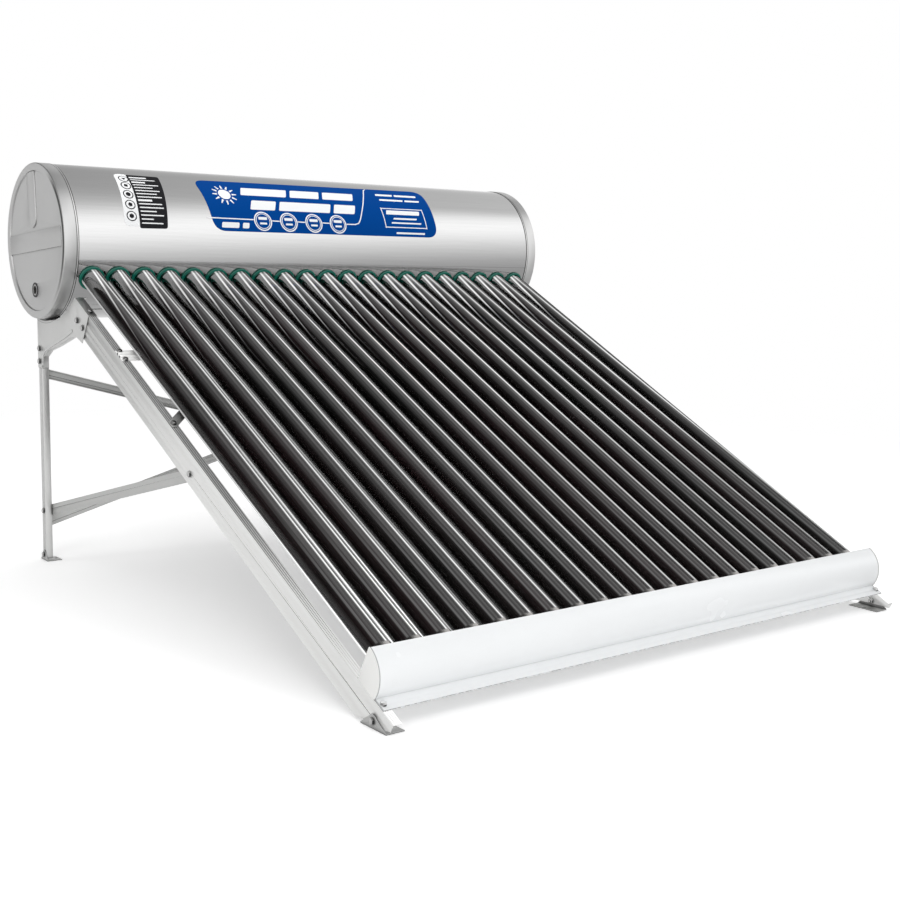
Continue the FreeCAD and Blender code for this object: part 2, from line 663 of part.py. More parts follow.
def corner_brace(label, side):
    """Diagonal strap from the rail's flange to the cross rail."""
    body = new_body(label, "tilted")
    rail_x, rail_down = size.bolt_x, size.knee_s
    cross_x, cross_down = size.knee_x, CROSS_LOW_BOLT
    run_x, run_down = cross_x - rail_x, cross_down - rail_down
    length = root(run_x * run_x + run_down * run_down)
    half = size.knee_width / 2
    shift_x, shift_down = run_down / length * half, run_x / length * half
    low_x, low_down = rail_x - shift_x, rail_down + shift_down
    high_x, high_down = rail_x + shift_x, rail_down - shift_down
    # the ends are trimmed parallel to the rail and to the cross rail
    stop_x, stop_down, trim_down = size.frame_x - 1, size.knee_s + 15, cross_down - 7.5
    loop = [(stop_x, low_down + (stop_x - low_x) / run_x * run_down),
            (stop_x, stop_down),
            (high_x + (stop_down - high_down) / run_down * run_x, stop_down),
            (high_x + (trim_down - high_down) / run_down * run_x, trim_down),
            (low_x + (trim_down - low_down) / run_down * run_x, trim_down)]
    top = size.rail_drop - size.cross_wall - size.knee_wall
    pad(body, "Strap", "XZ", size.knee_wall, loop=mirrored(side, loop), offset=top)
    drill_flange(body, (side * rail_x, rail_down), (side * cross_x, cross_down),
                 start=top - 4, depth=10)


upper_cross_rail()
corner_brace("corner_brace_left", -1)
corner_brace("corner_brace_right", 1)

# ------------------------------------------------------------ lower holder
COVER_CENTRE = (-size.cover_centre_drop, size.cover_centre_s)
COVER_INSIDE = size.cover_radius - size.holder_wall
HOLDER_BASE = -size.rail_drop


def cover_at_height(radius, up):
    """The point on the cover's curve at a given height."""
    rise = up - COVER_CENTRE[0]
    return up, COVER_CENTRE[1] + root(radius * radius - rise * rise)


def cover_at_distance(radius, down):
    """The point on the cover's curve at a given distance down the tubes."""
    run = down - COVER_CENTRE[1]
    return COVER_CENTRE[0] + root(radius * radius - run * run), down


def holder_cover():
    """Curved sheet over the tube tips, with a flange on the rails."""
    body = new_body("holder_cover", "tilted")
    flange_top = HOLDER_BASE + size.holder_wall
    pad(body, "Section", "YZ", 2 * size.holder_half, offset=-size.holder_half, loop=[
        (*cover_at_distance(size.cover_radius, size.holder_s), *COVER_CENTRE, 1),
        cover_at_height(size.cover_radius, flange_top),
        (flange_top, size.holder_end), (HOLDER_BASE, size.holder_end),
        (*cover_at_height(COVER_INSIDE, HOLDER_BASE), *COVER_CENTRE, -1),
        cover_at_distance(COVER_INSIDE, size.holder_s)])
    drill_flange(body, (-HOLDER_BOLT_X, size.holder_bolt_s), (HOLDER_BOLT_X, size.holder_bolt_s))


def holder_tray():
    """Angle across the rails, its upright face holed for the tube cups."""
    body = new_body("holder_tray", "tilted")
    start, wall = size.holder_s, size.holder_wall
    half = size.holder_half - size.tray_end_gap
    top = cover_at_distance(COVER_INSIDE, start + wall)[0] - size.tray_gap
    foot_end = start + size.tray_foot
    pad(body, "Section", "YZ", 2 * half, offset=-half, loop=[
        (HOLDER_BASE, start), (top, start), (top, start + wall),
        (HOLDER_BASE + wall, start + wall), (HOLDER_BASE + wall, foot_end),
        (HOLDER_BASE, foot_end)])
    cut(body, "Holes", "XY", depth=12, along=True, offset=start - 5,
        circles=neck_circles(TUBE_RADIUS + size.cup_gap + size.cup_wall))


def holder_end(label, side):
    body = new_body(label, "tilted")
    radius, start = size.cover_radius + size.end_margin, size.holder_s - 1
    pad_side(body, "Plate", side, size.holder_half, size.end_wall, loop=[
        (*cover_at_distance(radius, start), *COVER_CENTRE, 1),
        cover_at_height(radius, HOLDER_BASE), (HOLDER_BASE, start)])


holder_cover()
holder_tray()
holder_end("holder_end_left", -1)
holder_end("holder_end_right", 1)

# -------------------------------------------------------------------- feet
# name, pivot y, pivot z, reach to the front, reach to the rear, cheek radius
FEET = [
    ("front", size.front_pivot_y, size.front_pivot_z, 47, 43, 14),
    ("rear", size.rear_pivot_y, size.rear_pivot_z, 25, 25, 13),
]


def foot(label, side, y, z, reach_front, reach_rear, radius):
    """Pressed foot: a base plate with an anchor hole, and a rounded cheek
    outside the frame that pivots on one bolt."""
    body = new_body(label)
    wall, edge = size.foot_wall, size.foot_edge
    cheek_x = size.frame_x + size.foot_gap
    outer_x = cheek_x + wall
    front, rear = y - reach_front, y + reach_rear
    radius = Dimension.of(radius)
    round_y = radius * 0.86
    round_z = root(radius * radius - round_y * round_y)
    pad_side(body, "Cheek", side, cheek_x, wall, loop=[
        (front, 0), (rear, 0), (rear, edge), (y + round_y, z + round_z, y, z, 1),
        (y - round_y, z + round_z), (front, edge)])
    pad(body, "Base", "XY", wall, loop=mirrored(side, [
        (size.foot_inner, front), (outer_x, front), (outer_x, rear), (size.foot_inner, rear)]))
    cut_side(body, "Pivot", side, outer_x + 3, depth=10, circles=[(y, z, size.pivot_clear)])
    cut(body, "Anchor", "XY", depth=10, offset=wall + 3,
        circles=[(side * size.anchor_x, y, size.anchor_radius)])


for word, side in (("left", -1), ("right", 1)):
    for place, *shape in FEET:
        foot("foot_%s_%s" % (place, word), side, *shape)

# ------------------------------------------- groups of identical small pieces
# These are repeated pieces, each a separate solid, set out in code from the
# same sizes.
TILTED = Placement(Vector(0, 0, plain.tank_height), Rotation(Vector(1, 0, 0), 90 + plain.slope))


def group(label, shapes, place=Placement()):
    feature = doc.addObject("Part::Feature", label)
    feature.Label = label
    feature.Shape = Part.makeCompound(shapes)
    feature.Placement = place
    pieces.append(feature)


def turned(outline, x=0):
    """Revolves a closed (radius, height) outline about the upright axis at x.
    A point (radius, height, mid radius, mid height) starts an arc."""
    edges = []
    for point, ahead in zip(outline, outline[1:] + outline[:1]):
        start, end = Vector(point[0], 0, point[1]), Vector(ahead[0], 0, ahead[1])
        if len(point) > 2:
            edges.append(Part.Arc(start, Vector(point[2], 0, point[3]), end).toShape())
        else:
            edges.append(Part.makeLine(start, end))
    face = Part.Face(Part.Wire(edges))
    solid = face.revolve(Vector(0, 0, 0), Vector(0, 0, 1), 360)
    # the outline's direction may leave the solid inside out
    if solid.Volume < 0:
        solid.reverse()
    solid.translate(Vector(x, 0, 0))
    return solid


def one_per_tube(label, outline):
    group(label, [turned(outline, tube_x(number).value) for number in TUBES], TILTED)


def tube_seals():
    """Grooved rings in the inner tank's holes."""
    hole, bore, tank = plain.seal_hole, plain.seal_bore, plain.inner_radius
    lip = hole + 3
    low = math.sqrt((tank - plain.inner_wall) ** 2 - lip ** 2) - 0.1
    one_per_tube("tube_seals", [
        (bore, low - 4), (lip, low - 4), (lip, low), (hole, low),
        (hole, tank + 0.1), (lip, tank + 0.1), (lip, tank + 4), (bore, tank + 4)])


def dust_rings():
    """Rounded rings in the shell's holes."""
    bore, outer, shell = plain.ring_bore, plain.ring_radius, plain.shell_radius
    neck, height = plain.neck_hole - 0.1, plain.ring_height
    middle = (bore + outer) / 2
    one_per_tube("dust_rings", [
        (bore, shell - 7), (neck, shell - 7), (neck, shell + 0.1),
        (outer - 1, shell + 0.1, outer - 0.3, shell + 0.4), (outer, shell + 1.1),
        (outer, shell + height / 2, (outer + middle) / 2 + 1.0, shell + height - 1.0),
        (middle, shell + height), (bore + 1, shell + height - 0.6),
        (bore, shell + height - 1.6)])


def tube_cups():
    """Flanged cups round the tube tips, set in the tray."""
    inner = plain.tube_od / 2 + plain.cup_gap
    outer = inner + plain.cup_wall
    dome = TUBE_TIP.value - TUBE_RADIUS.value
    tray, flange = plain.holder_s, outer + 3.4
    diagonal = math.sqrt(0.5)
    one_per_tube("tube_cups", [
        (inner, tray - 4.5), (flange, tray - 4.5), (flange, tray), (outer, tray),
        (outer, dome, outer * diagonal, dome + outer * diagonal), (0, dome + outer),
        (0, dome + inner, inner * diagonal, dome + inner * diagonal), (inner, dome)])


def port_grommets():
    """Stepped rings between the end caps and the sockets."""
    face, bore, hole = CAP_FACE.value, plain.socket_radius, plain.port_hole
    back, front, flange = face - plain.cap_skin, face + 1.4, hole + 2
    outline = [(bore, back), (hole, back), (hole, face), (flange, face),
               (flange, front), (bore, front)]
    grommets = []
    for side in (-1, 1):
        piece = turned(outline)
        piece.rotate(Vector(0, 0, 0), Vector(0, 1, 0), 90 * side)
        piece.translate(Vector(0, plain.port_y, plain.tank_height - plain.port_drop))
        grommets.append(piece)
    group("port_grommets", grommets)


def saddle_pads():
    """Rubber pads between the saddle lips and the shell, holed for the studs."""
    length, height = 76, 12
    seat = plain.saddle_seat
    inner_x = plain.frame_x - plain.saddle_lip + 1
    outer_x = plain.tank_half - plain.cap_rim - 1
    pads = []
    for side in (-1, 1):
        start_x = inner_x if side > 0 else -outer_x
        block = Part.makeBox(outer_x - inner_x, length, height,
                             Vector(start_x, -length / 2, seat))
        tank = Part.makeCylinder(plain.shell_radius, 2000,
                                 Vector(-1000, 0, plain.tank_height), Vector(1, 0, 0))
        drill = Part.makeCylinder(plain.bolt_clear, 30,
                                  Vector(side * plain.stud_x, 0, seat - 10))
        pads.append(block.cut(tank).cut(drill))
    group("saddle_pads", pads)


tube_seals()
dust_rings()
tube_cups()
port_grommets()
saddle_pads()

# --------------------------------------------------------------- fasteners
BOLT_PAST_NUT = 3.0
BOLT_TIP = 0.9
UPWARD, REARWARD = Vector(0, 0, 1), Vector(0, 1, 0)
NORMAL = TILTED.Rotation.multVec(Vector(0, 1, 0))    # out of the rails' flanges
bolts, nuts, washers, pivots, studs = [], [], [], [], []


def hexagon(height):
    radius = plain.hex_flats / math.sqrt(3)
    angles = [math.radians(60 * k) for k in range(7)]
    points = [Vector(radius * math.cos(a), radius * math.sin(a), 0) for a in angles]
    return Part.Face(Part.makePolygon(points)).extrude(Vector(0, 0, height))


def crowned(height, both=False):
    """A hexagon with its top corners, or both ends', bevelled at 30 degrees."""
    narrow = plain.hex_flats / 2 * 0.97
    wide = narrow + height / math.tan(math.radians(30))
    shape = hexagon(height).common(Part.makeCone(wide, narrow, height))
    if both:
        shape = shape.common(Part.makeCone(narrow, wide, height))
    return shape


def aim(shape, point, direction):
    """Moves a shape drawn along +Z to a point and direction."""
    place = Placement(point, Rotation(Vector(0, 0, 1), direction))
    shape.Placement = place.multiply(shape.Placement)
    return shape


def bolt(point, out, length):
    """A bolt whose head bears at the point, its shank running inwards."""
    radius = plain.bolt_radius
    shank = Part.makeCylinder(radius, length, Vector(0, 0, -length))
    tip = Part.makeCone(radius - BOLT_TIP, radius, BOLT_TIP, Vector(0, 0, -length - BOLT_TIP))
    head = crowned(plain.head_height)
    return aim(head.fuse([shank, tip]).removeSplitter(), point, out)


def nut(point, out):
    """A nut whose bearing face is at the point, standing away from the head."""
    body = crowned(plain.nut_height, both=True)
    body = body.cut(Part.makeCylinder(plain.bolt_radius + 0.02, 40, Vector(0, 0, -10)))
    body.translate(Vector(0, 0, -plain.nut_height))
    return aim(body, point, out)


def washer(point, out, thick, outer=8.0):
    ring = Part.makeCylinder(outer, thick).cut(
        Part.makeCylinder(plain.bolt_clear, thick + 2, Vector(0, 0, -1)))
    ring.translate(Vector(0, 0, -thick))
    return aim(ring, point, out)


def joint(point, out, grip):
    """A bolt through a stack of the given thickness, with its nut."""
    bolts.append(bolt(point, out, grip + plain.nut_height + BOLT_PAST_NUT))
    nuts.append(nut(point - out * grip, out))


def tilted_point(x, up, down):
    return TILTED.multVec(Vector(x, up, down))


def saddle_fasteners(side, out):
    grip = plain.saddle_wall + plain.sheet_wall
    face_x = side * (plain.frame_x + plain.saddle_wall)
    for z in (plain.leg_bolt_high, plain.leg_bolt_low):
        joint(Vector(face_x, LEG_MIDDLE.value, z), out, grip)
    for down in (plain.saddle_bolt_high, plain.saddle_bolt_low):
        joint(tilted_point(face_x, -plain.saddle_bolt_drop, down), out, grip)
    joint(tilted_point(side * plain.bolt_x, -plain.rail_drop + plain.saddle_wall,
                       plain.flange_bolt_s), NORMAL, grip)


def flange_fasteners(side):
    """Cross rail, corner brace and holder cover, bolted down on the rail."""
    x, wall = side * plain.bolt_x, plain.sheet_wall
    rail_top = -plain.rail_drop
    cross_top = rail_top + plain.cross_wall
    strap_top = cross_top + plain.knee_wall
    stack = plain.cross_wall + plain.knee_wall
    for down in (CROSS_HIGH_BOLT.value, CROSS_LOW_BOLT.value):
        joint(tilted_point(x, cross_top, down), NORMAL, plain.cross_wall + wall)
    joint(tilted_point(x, strap_top, plain.knee_s), NORMAL, stack + wall)
    washers.append(washer(tilted_point(x, cross_top, plain.knee_s), NORMAL, plain.cross_wall))
    joint(tilted_point(side * plain.knee_x, strap_top, CROSS_LOW_BOLT.value), NORMAL, stack)
    joint(tilted_point(side * HOLDER_BOLT_X.value, rail_top + plain.holder_wall,
                       plain.holder_bolt_s), NORMAL, plain.holder_wall + wall)


def side_brace_fasteners(side, out):
    """Long bolts with spacer sleeves inside the channels."""
    face_x, wall = plain.frame_x, plain.sheet_wall
    sleeve = face_x - wall - (plain.brace_x + plain.brace_wall)
    for point in (Vector(side * face_x, LEG_MIDDLE.value, plain.brace_leg_z),
                  tilted_point(side * face_x, -plain.brace_rail_drop, plain.brace_rail_s)):
        joint(point, out, face_x - plain.brace_x)
        washers.append(washer(point - out * wall, out, sleeve, outer=7.0))


def rear_brace_fasteners(side):
    """Straps to the leg: the rising one behind its wall, the other inside."""
    rising, falling = plain.strap_low, plain.strap_high
    if side > 0:
        rising, falling = falling, rising
    x, grip = side * plain.strap_x, plain.strap_wall + plain.sheet_wall
    joint(Vector(x, plain.leg_rear + plain.strap_wall, rising), REARWARD, grip)
    joint(Vector(x, plain.leg_rear, falling), REARWARD, grip)


def foot_pivots(side, out):
    """Pivot bolts, clear of the foot's cheek by a running gap."""
    running_gap, past_wall = 0.1, 9
    reach = plain.foot_gap + plain.foot_wall + running_gap
    for y, z in ((plain.front_pivot_y, plain.front_pivot_z),
                 (plain.rear_pivot_y, plain.rear_pivot_z)):
        head = Vector(side * (plain.frame_x + reach), y, z)
        pivots.append(bolt(head, out, reach + plain.sheet_wall + past_wall))
        nuts.append(nut(Vector(side * (plain.frame_x - plain.sheet_wall), y, z), out))


def tank_stud(side):
    """Stud under the tank, with its nut below the saddle lip."""
    x = side * plain.stud_x
    height = plain.tank_height - plain.shell_radius - plain.stud_foot
    studs.append(Part.makeCylinder(plain.bolt_radius, height, Vector(x, 0, plain.stud_foot)))
    nuts.append(nut(Vector(x, 0, plain.saddle_seat - plain.saddle_wall), UPWARD))


def strap_crossing():
    """Bolt and spacing washer where the rear straps cross."""
    z = (plain.strap_high + plain.strap_low) / 2
    rear, wall = plain.leg_rear, plain.strap_wall
    joint(Vector(0, rear + wall, z), REARWARD, 2 * wall + plain.sheet_wall)
    washers.append(washer(Vector(0, rear, z), REARWARD, plain.sheet_wall))


for side in (-1, 1):
    out = Vector(side, 0, 0)
    saddle_fasteners(side, out)
    flange_fasteners(side)
    side_brace_fasteners(side, out)
    rear_brace_fasteners(side)
    foot_pivots(side, out)
    tank_stud(side)
strap_crossing()

group("frame_bolts", bolts)
group("frame_nuts", nuts)
group("frame_washers", washers)
group("foot_pivot_bolts", pivots)
group("tank_studs", studs)

# ------------------------------------------------------- build, check, write
doc.recompute()
for item in doc.Objects:
    if "Invalid" in item.State or "Error" in item.State:
        raise RuntimeError("%s is %s" % (item.Name, item.State))
    if item.TypeId == "PartDesign::Pocket":
        if not item.Shape.Volume < item.BaseFeature.Shape.Volume - 1.0:
            raise RuntimeError("%s cuts nothing" % item.Name)
for piece in pieces:
    shape = piece.Shape
    if shape.isNull() or not shape.isValid() or not shape.Solids:
        raise RuntimeError("%s has a bad shape" % piece.Label)
    if piece.TypeId == "PartDesign::Body" and len(shape.Solids) != 1:
        raise RuntimeError("%s has %d solids" % (piece.Label, len(shape.Solids)))
os.makedirs("parts", exist_ok=True)
for piece in pieces:
    piece.Shape.exportStep("parts/%s.step" % piece.Label)
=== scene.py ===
# A solar water heater: a round tank lying along X with 21 evacuated glass tubes
# running down from it towards the front (-Y), on a sheet-metal stand.  +X is to
# the right and +Z up.  The carried-over CAD pieces get materials and soft edges;
# the tubes, dust rings, cups and labels are built here.
import math
import bpy
import bmesh
from mathutils import Matrix, Vector
from mathutils.geometry import delaunay_2d_cdt


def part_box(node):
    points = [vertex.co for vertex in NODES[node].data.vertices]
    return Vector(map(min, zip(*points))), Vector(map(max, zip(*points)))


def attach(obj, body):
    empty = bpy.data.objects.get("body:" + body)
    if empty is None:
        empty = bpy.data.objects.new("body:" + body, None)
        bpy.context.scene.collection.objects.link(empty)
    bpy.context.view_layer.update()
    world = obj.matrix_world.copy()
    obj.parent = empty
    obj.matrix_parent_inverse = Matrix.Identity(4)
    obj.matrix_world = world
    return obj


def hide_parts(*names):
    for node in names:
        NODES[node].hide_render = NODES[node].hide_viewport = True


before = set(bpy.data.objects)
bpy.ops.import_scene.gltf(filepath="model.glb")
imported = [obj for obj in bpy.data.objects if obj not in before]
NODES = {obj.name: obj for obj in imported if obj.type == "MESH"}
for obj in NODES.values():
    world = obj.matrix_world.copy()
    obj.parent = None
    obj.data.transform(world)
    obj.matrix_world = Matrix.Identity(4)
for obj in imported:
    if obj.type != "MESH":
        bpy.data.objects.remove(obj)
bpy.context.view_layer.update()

# ----------------------------------------------------------------- dimensions
MM = 0.001
TO_DEG = 180 / math.pi
SLOPE = math.radians(26.7)                       # tubes below the horizontal
SIN, COS = math.sin(SLOPE), math.cos(SLOPE)
AXIS_Z = 0.952                                   # height of the tank's axis
TUBE_COUNT = 21
SHELL_RADIUS = 221.0                             # tank shell, mm
ARC_MM = SHELL_RADIUS * math.pi / 180.0          # mm of shell in one degree

# Tilted frame of the tubes: X, height above the tube plane, distance down.
TILT = Matrix.Translation((0, 0, AXIS_Z)) @ Matrix.Rotation(math.pi / 2 + SLOPE, 4, "X")


def middle_x(name):
    low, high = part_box(name)
    return (low.x + high.x) / 2


TUBE_NAMES = ["tube_%02d" % number for number in range(1, TUBE_COUNT + 1)]
TUBE_X = [middle_x(name) for name in TUBE_NAMES]
CAP_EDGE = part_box("end_cap_right")[0].x          # where the caps' rims end on the shell
COVER_LOW, COVER_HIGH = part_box("holder_cover")
# radius of the saddles' cradle, from the saddle's outer part
CRADLE = min(math.hypot(v.co.y, v.co.z - AXIS_Z)
             for v in NODES["saddle_left"].data.vertices if abs(v.co.x) > 0.75)


# ------------------------------------------------------------- shader helpers
def add_node(tree, kind, inputs=None, **settings):
    """Adds a node; each input takes a Value, a socket, or a plain number or tuple."""
    node = tree.nodes.new(kind)
    for name, setting in settings.items():
        setattr(node, name, setting)
    for key, source in (inputs or {}).items():
        feed(tree, node.inputs[key], source)
    return node


def feed(tree, socket, source):
    """Links a source into an input socket, or stores it there if it is plain."""
    if isinstance(source, Value):
        source = source.socket
    if hasattr(source, "is_output"):
        tree.links.new(source, socket)
    else:
        socket.default_value = source


def split(tree, vector):
    """The x, y and z of a vector socket."""
    node = add_node(tree, "ShaderNodeSeparateXYZ", {0: vector})
    return [Value(tree, node.outputs[k]) for k in range(3)]


class Value:
    """A number inside a shader tree, with ordinary arithmetic."""

    def __init__(self, tree, socket):
        self.tree = tree
        self.socket = socket

    def _math(self, operation, *others):
        inputs = dict(enumerate((self,) + others))
        node = add_node(self.tree, "ShaderNodeMath", inputs, operation=operation)
        return Value(self.tree, node.outputs[0])

    def __add__(self, other): return self._math("ADD", other)
    def __sub__(self, other): return self._math("SUBTRACT", other)
    def __mul__(self, other): return self._math("MULTIPLY", other)
    def __truediv__(self, other): return self._math("DIVIDE", other)
    def abs(self): return self._math("ABSOLUTE")
    def sin(self): return self._math("SINE")
    def sqrt(self): return self._math("SQRT")
    def min(self, other): return self._math("MINIMUM", other)
    def max(self, other): return self._math("MAXIMUM", other)
    def gt(self, other): return self._math("GREATER_THAN", other)
    def lt(self, other): return self._math("LESS_THAN", other)
    def atan2(self, other): return self._math("ARCTAN2", other)

    def smooth(self, start, end, first=0.0, last=1.0):
        """Eases from first to last as the value goes from start to end."""
        node = add_node(self.tree, "ShaderNodeMapRange",
                        {0: self, 1: start, 2: end, 3: first, 4: last},
                        interpolation_type="SMOOTHSTEP")
        return Value(self.tree, node.outputs[0])

    def fade(self, start, end):
        """1 before start, easing to 0 at end."""
        return self.smooth(start, end, 1.0, 0.0)

    def window(self, start, full, fade, end):
        """Rises from start to full, and falls again from fade to end."""
        return self.smooth(start, full) * self.fade(fade, end)

    def close(self, inner, outer, peak=1.0, rest=0.0):
        """peak within inner of zero on either side, rest beyond outer."""
        return self.abs().smooth(inner, outer, peak, rest)

    def cut(self, share=1.0):
        """1 where the value is 0, down to 1 - share where it is 1."""
        return self * -share + 1.0

    def ramp(self, stops):
        """Straight-line lookup in a table of (position, level)."""
        node = add_node(self.tree, "ShaderNodeValToRGB", {0: self})
        node.color_ramp.interpolation = "LINEAR"
        elements = node.color_ramp.elements
        while len(elements) > 1:
            elements.remove(elements[-1])
        first_position, first_level = stops[0]
        elements[0].position = first_position
        elements[0].color = (first_level,) * 3 + (1,)
        for position, level in stops[1:]:
            elements.new(position).color = (level, level, level, 1)
        return Value(self.tree, node.outputs[0])


def along_up(y, z):
    """Part of (y, z) that points up out of the tube plane."""
    return y * -SIN + z * COS


def along_down(y, z):
    """Part of (y, z) that points down along the tubes."""
    return y * -COS - z * SIN


def turn_of(y, z):
    """Angle of (y, z) in degrees: 0 at the front, 90 at the top."""
    return z.atan2(y * -1.0) * TO_DEG


def radius_of(y, z):
    """Distance from the tank's axis."""
    return ((y * y) + (z - AXIS_Z) * (z - AXIS_Z)).sqrt()


def is_plain(color):
    return not hasattr(color, "is_output")


class Material:
    """A node material built in code."""

    INPUTS = {"color": "Base Color", "rough": "Roughness", "metal": "Metallic",
              "coat": "Coat Weight", "coat_rough": "Coat Roughness",
              "spec": "Specular IOR Level", "normal": "Normal"}

    def __init__(self, name):
        self.data = bpy.data.materials.new(name)
        self.data.use_nodes = True
        self.tree = self.data.node_tree
        self.bsdf = self.tree.nodes["Principled BSDF"]
        self.output = self.tree.nodes["Material Output"]
        self.coords = self.node("ShaderNodeTexCoord").outputs["Object"]

    def node(self, kind, inputs=None, **settings):
        return add_node(self.tree, kind, inputs, **settings)

    def value(self, socket):
        return Value(self.tree, socket)

    def xyz(self, vector=None):
        return split(self.tree, vector or self.coords)

    def normal_xyz(self):
        return self.xyz(self.node("ShaderNodeNewGeometry").outputs["Normal"])

    def noise(self, scale, stretch=(1, 1, 1), detail=3.0, rough=0.55):
        """Noise; a small stretch factor draws it out along that axis."""
        place = self.node("ShaderNodeMapping", {0: self.coords, "Scale": stretch})
        node = self.node("ShaderNodeTexNoise", {
            "Vector": place.outputs[0], "Scale": scale, "Detail": detail, "Roughness": rough})
        return self.value(node.outputs["Fac"])

    def mix(self, share, first, second):
        """Colour between first and second; share is how much of second."""
        if is_plain(first):
            first = (*first, 1)
        if is_plain(second):
            second = (*second, 1)
        node = self.node("ShaderNodeMix", {0: share, 6: first, 7: second}, data_type="RGBA")
        return node.outputs[2]

    def bump(self, height, strength, distance, over=None):
        """Surface relief, laid over an earlier relief if one is given."""
        inputs = {"Strength": strength, "Distance": distance, "Height": height}
        if over is not None:
            inputs["Normal"] = over
        return self.node("ShaderNodeBump", inputs).outputs[0]

    def set(self, **values):
        for name, source in values.items():
            if name == "color" and is_plain(source):
                source = (*source, 1)
            feed(self.tree, self.bsdf.inputs[self.INPUTS[name]], source)

    def current(self, name):
        """The socket that feeds an input now."""
        return self.bsdf.inputs[self.INPUTS[name]].links[0].from_socket

    def crevice_shade(self, distance, low):
        """Painted shade: 1 in the open, falling to low in corners and under lips."""
        node = self.node("ShaderNodeAmbientOcclusion", {"Distance": distance}, samples=6)
        return self.value(node.outputs["AO"]).smooth(0.15, 0.95, low, 1.0)

    def light_path(self, ray):
        return self.value(self.node("ShaderNodeLightPath").outputs[ray])

    def glow(self, level):
        """A little extra light off a pale floor near by."""
        feed(self.tree, self.bsdf.inputs["Emission Color"], (1, 1, 0.99, 1))
        feed(self.tree, self.bsdf.inputs["Emission Strength"], level)

    def vector(self, operation, inputs):
        return self.node("ShaderNodeVectorMath", inputs, operation=operation)

    def times(self, color, factor):
        """A colour socket multiplied by a number."""
        return self.vector("SCALE", {0: color, "Scale": factor}).outputs[0]

    def edge_highlight(self, radius):
        """1 on an outside edge, 0 elsewhere: the mask of a painted highlight."""
        bevel = self.node("ShaderNodeBevel", {"Radius": radius}, samples=3)
        geometry = self.node("ShaderNodeNewGeometry")
        dot = self.vector("DOT_PRODUCT", {0: bevel.outputs[0], 1: geometry.outputs["Normal"]})
        return self.value(dot.outputs["Value"]).smooth(0.97, 0.80)

    def emission(self, level):
        return self.node("ShaderNodeEmission", {1: level}).outputs[0]

    def add_shader(self, first, second):
        return self.node("ShaderNodeAddShader", {0: first, 1: second}).outputs[0]

    def mix_shader(self, share, first, second):
        return self.node("ShaderNodeMixShader", {0: share, 1: first, 2: second}).outputs[0]

    def show(self, shader):
        """Makes a shader the material's surface."""
        self.tree.links.new(shader, self.output.inputs[0])


def srgb(*channels):
    """Linear colour from 0-255 display values."""
    def linear(channel):
        channel /= 255.0
        if channel <= 0.04045:
            return channel / 12.92
        return ((channel + 0.055) / 1.055) ** 2.4
    return tuple(linear(channel) for channel in channels)


def scaled(color, factor):
    return [channel * factor for channel in color]


# ------------------------------------------------------------------ materials
ALONG_X = (0.05, 1, 1)          # noise stretches that draw streaks out
ALONG_Z = (1, 1, 0.05)


def mat_stainless():
    mat = Material("stainless_sheet")
    # rolling marks run along the tank
    streak = mat.noise(300, stretch=(0.015, 1, 1), detail=4, rough=0.6)
    cloud = mat.noise(2.2, stretch=(0.6, 1, 1), detail=2)
    fine = mat.noise(900, stretch=(0.03, 1, 1), detail=2)
    dirt = mat.noise(34, detail=5, rough=0.7).smooth(0.55, 0.85)
    x, y, z = mat.xyz()
    turn = turn_of(y, z - AXIS_Z)
    # glossier belly, a dark line of painted shade at the cap rims, lengthwise seam below the
    # front
    belly = turn.smooth(-8, -24)
    rim = x.abs().smooth(CAP_EDGE - 0.0042, CAP_EDGE - 0.0026, 1.0, 0.30)
    seam = (turn + 13.0).close(0.10, 0.35, peak=0.80, rest=1.0)
    sheet = mat.mix(streak.smooth(0.25, 0.75), (0.735, 0.735, 0.735), (0.775, 0.775, 0.775))
    # painted shade: darker in corners and under lips, and at the cap rims
    mat.set(color=mat.times(sheet, mat.crevice_shade(distance=0.010, low=0.5) * rim * seam),
            metal=1.0,
            rough=(streak * 0.03 + cloud * 0.03 + dirt * 0.02 + 0.10) * belly.cut(0.62),
            normal=mat.bump(cloud, strength=0.12, distance=0.003,
                            over=mat.bump(fine, strength=0.05, distance=0.0002)))
    return mat.data


def mat_plain_steel(name, color, rough):
    mat = Material(name)
    grain = mat.noise(140, detail=4)
    wide = mat.noise(9)
    mat.set(color=mat.mix(grain, scaled(color, 0.86), color), metal=1.0,
            rough=grain * 0.12 + wide * 0.10 + rough,
            normal=mat.bump(grain, strength=0.12, distance=0.0003))
    return mat.data


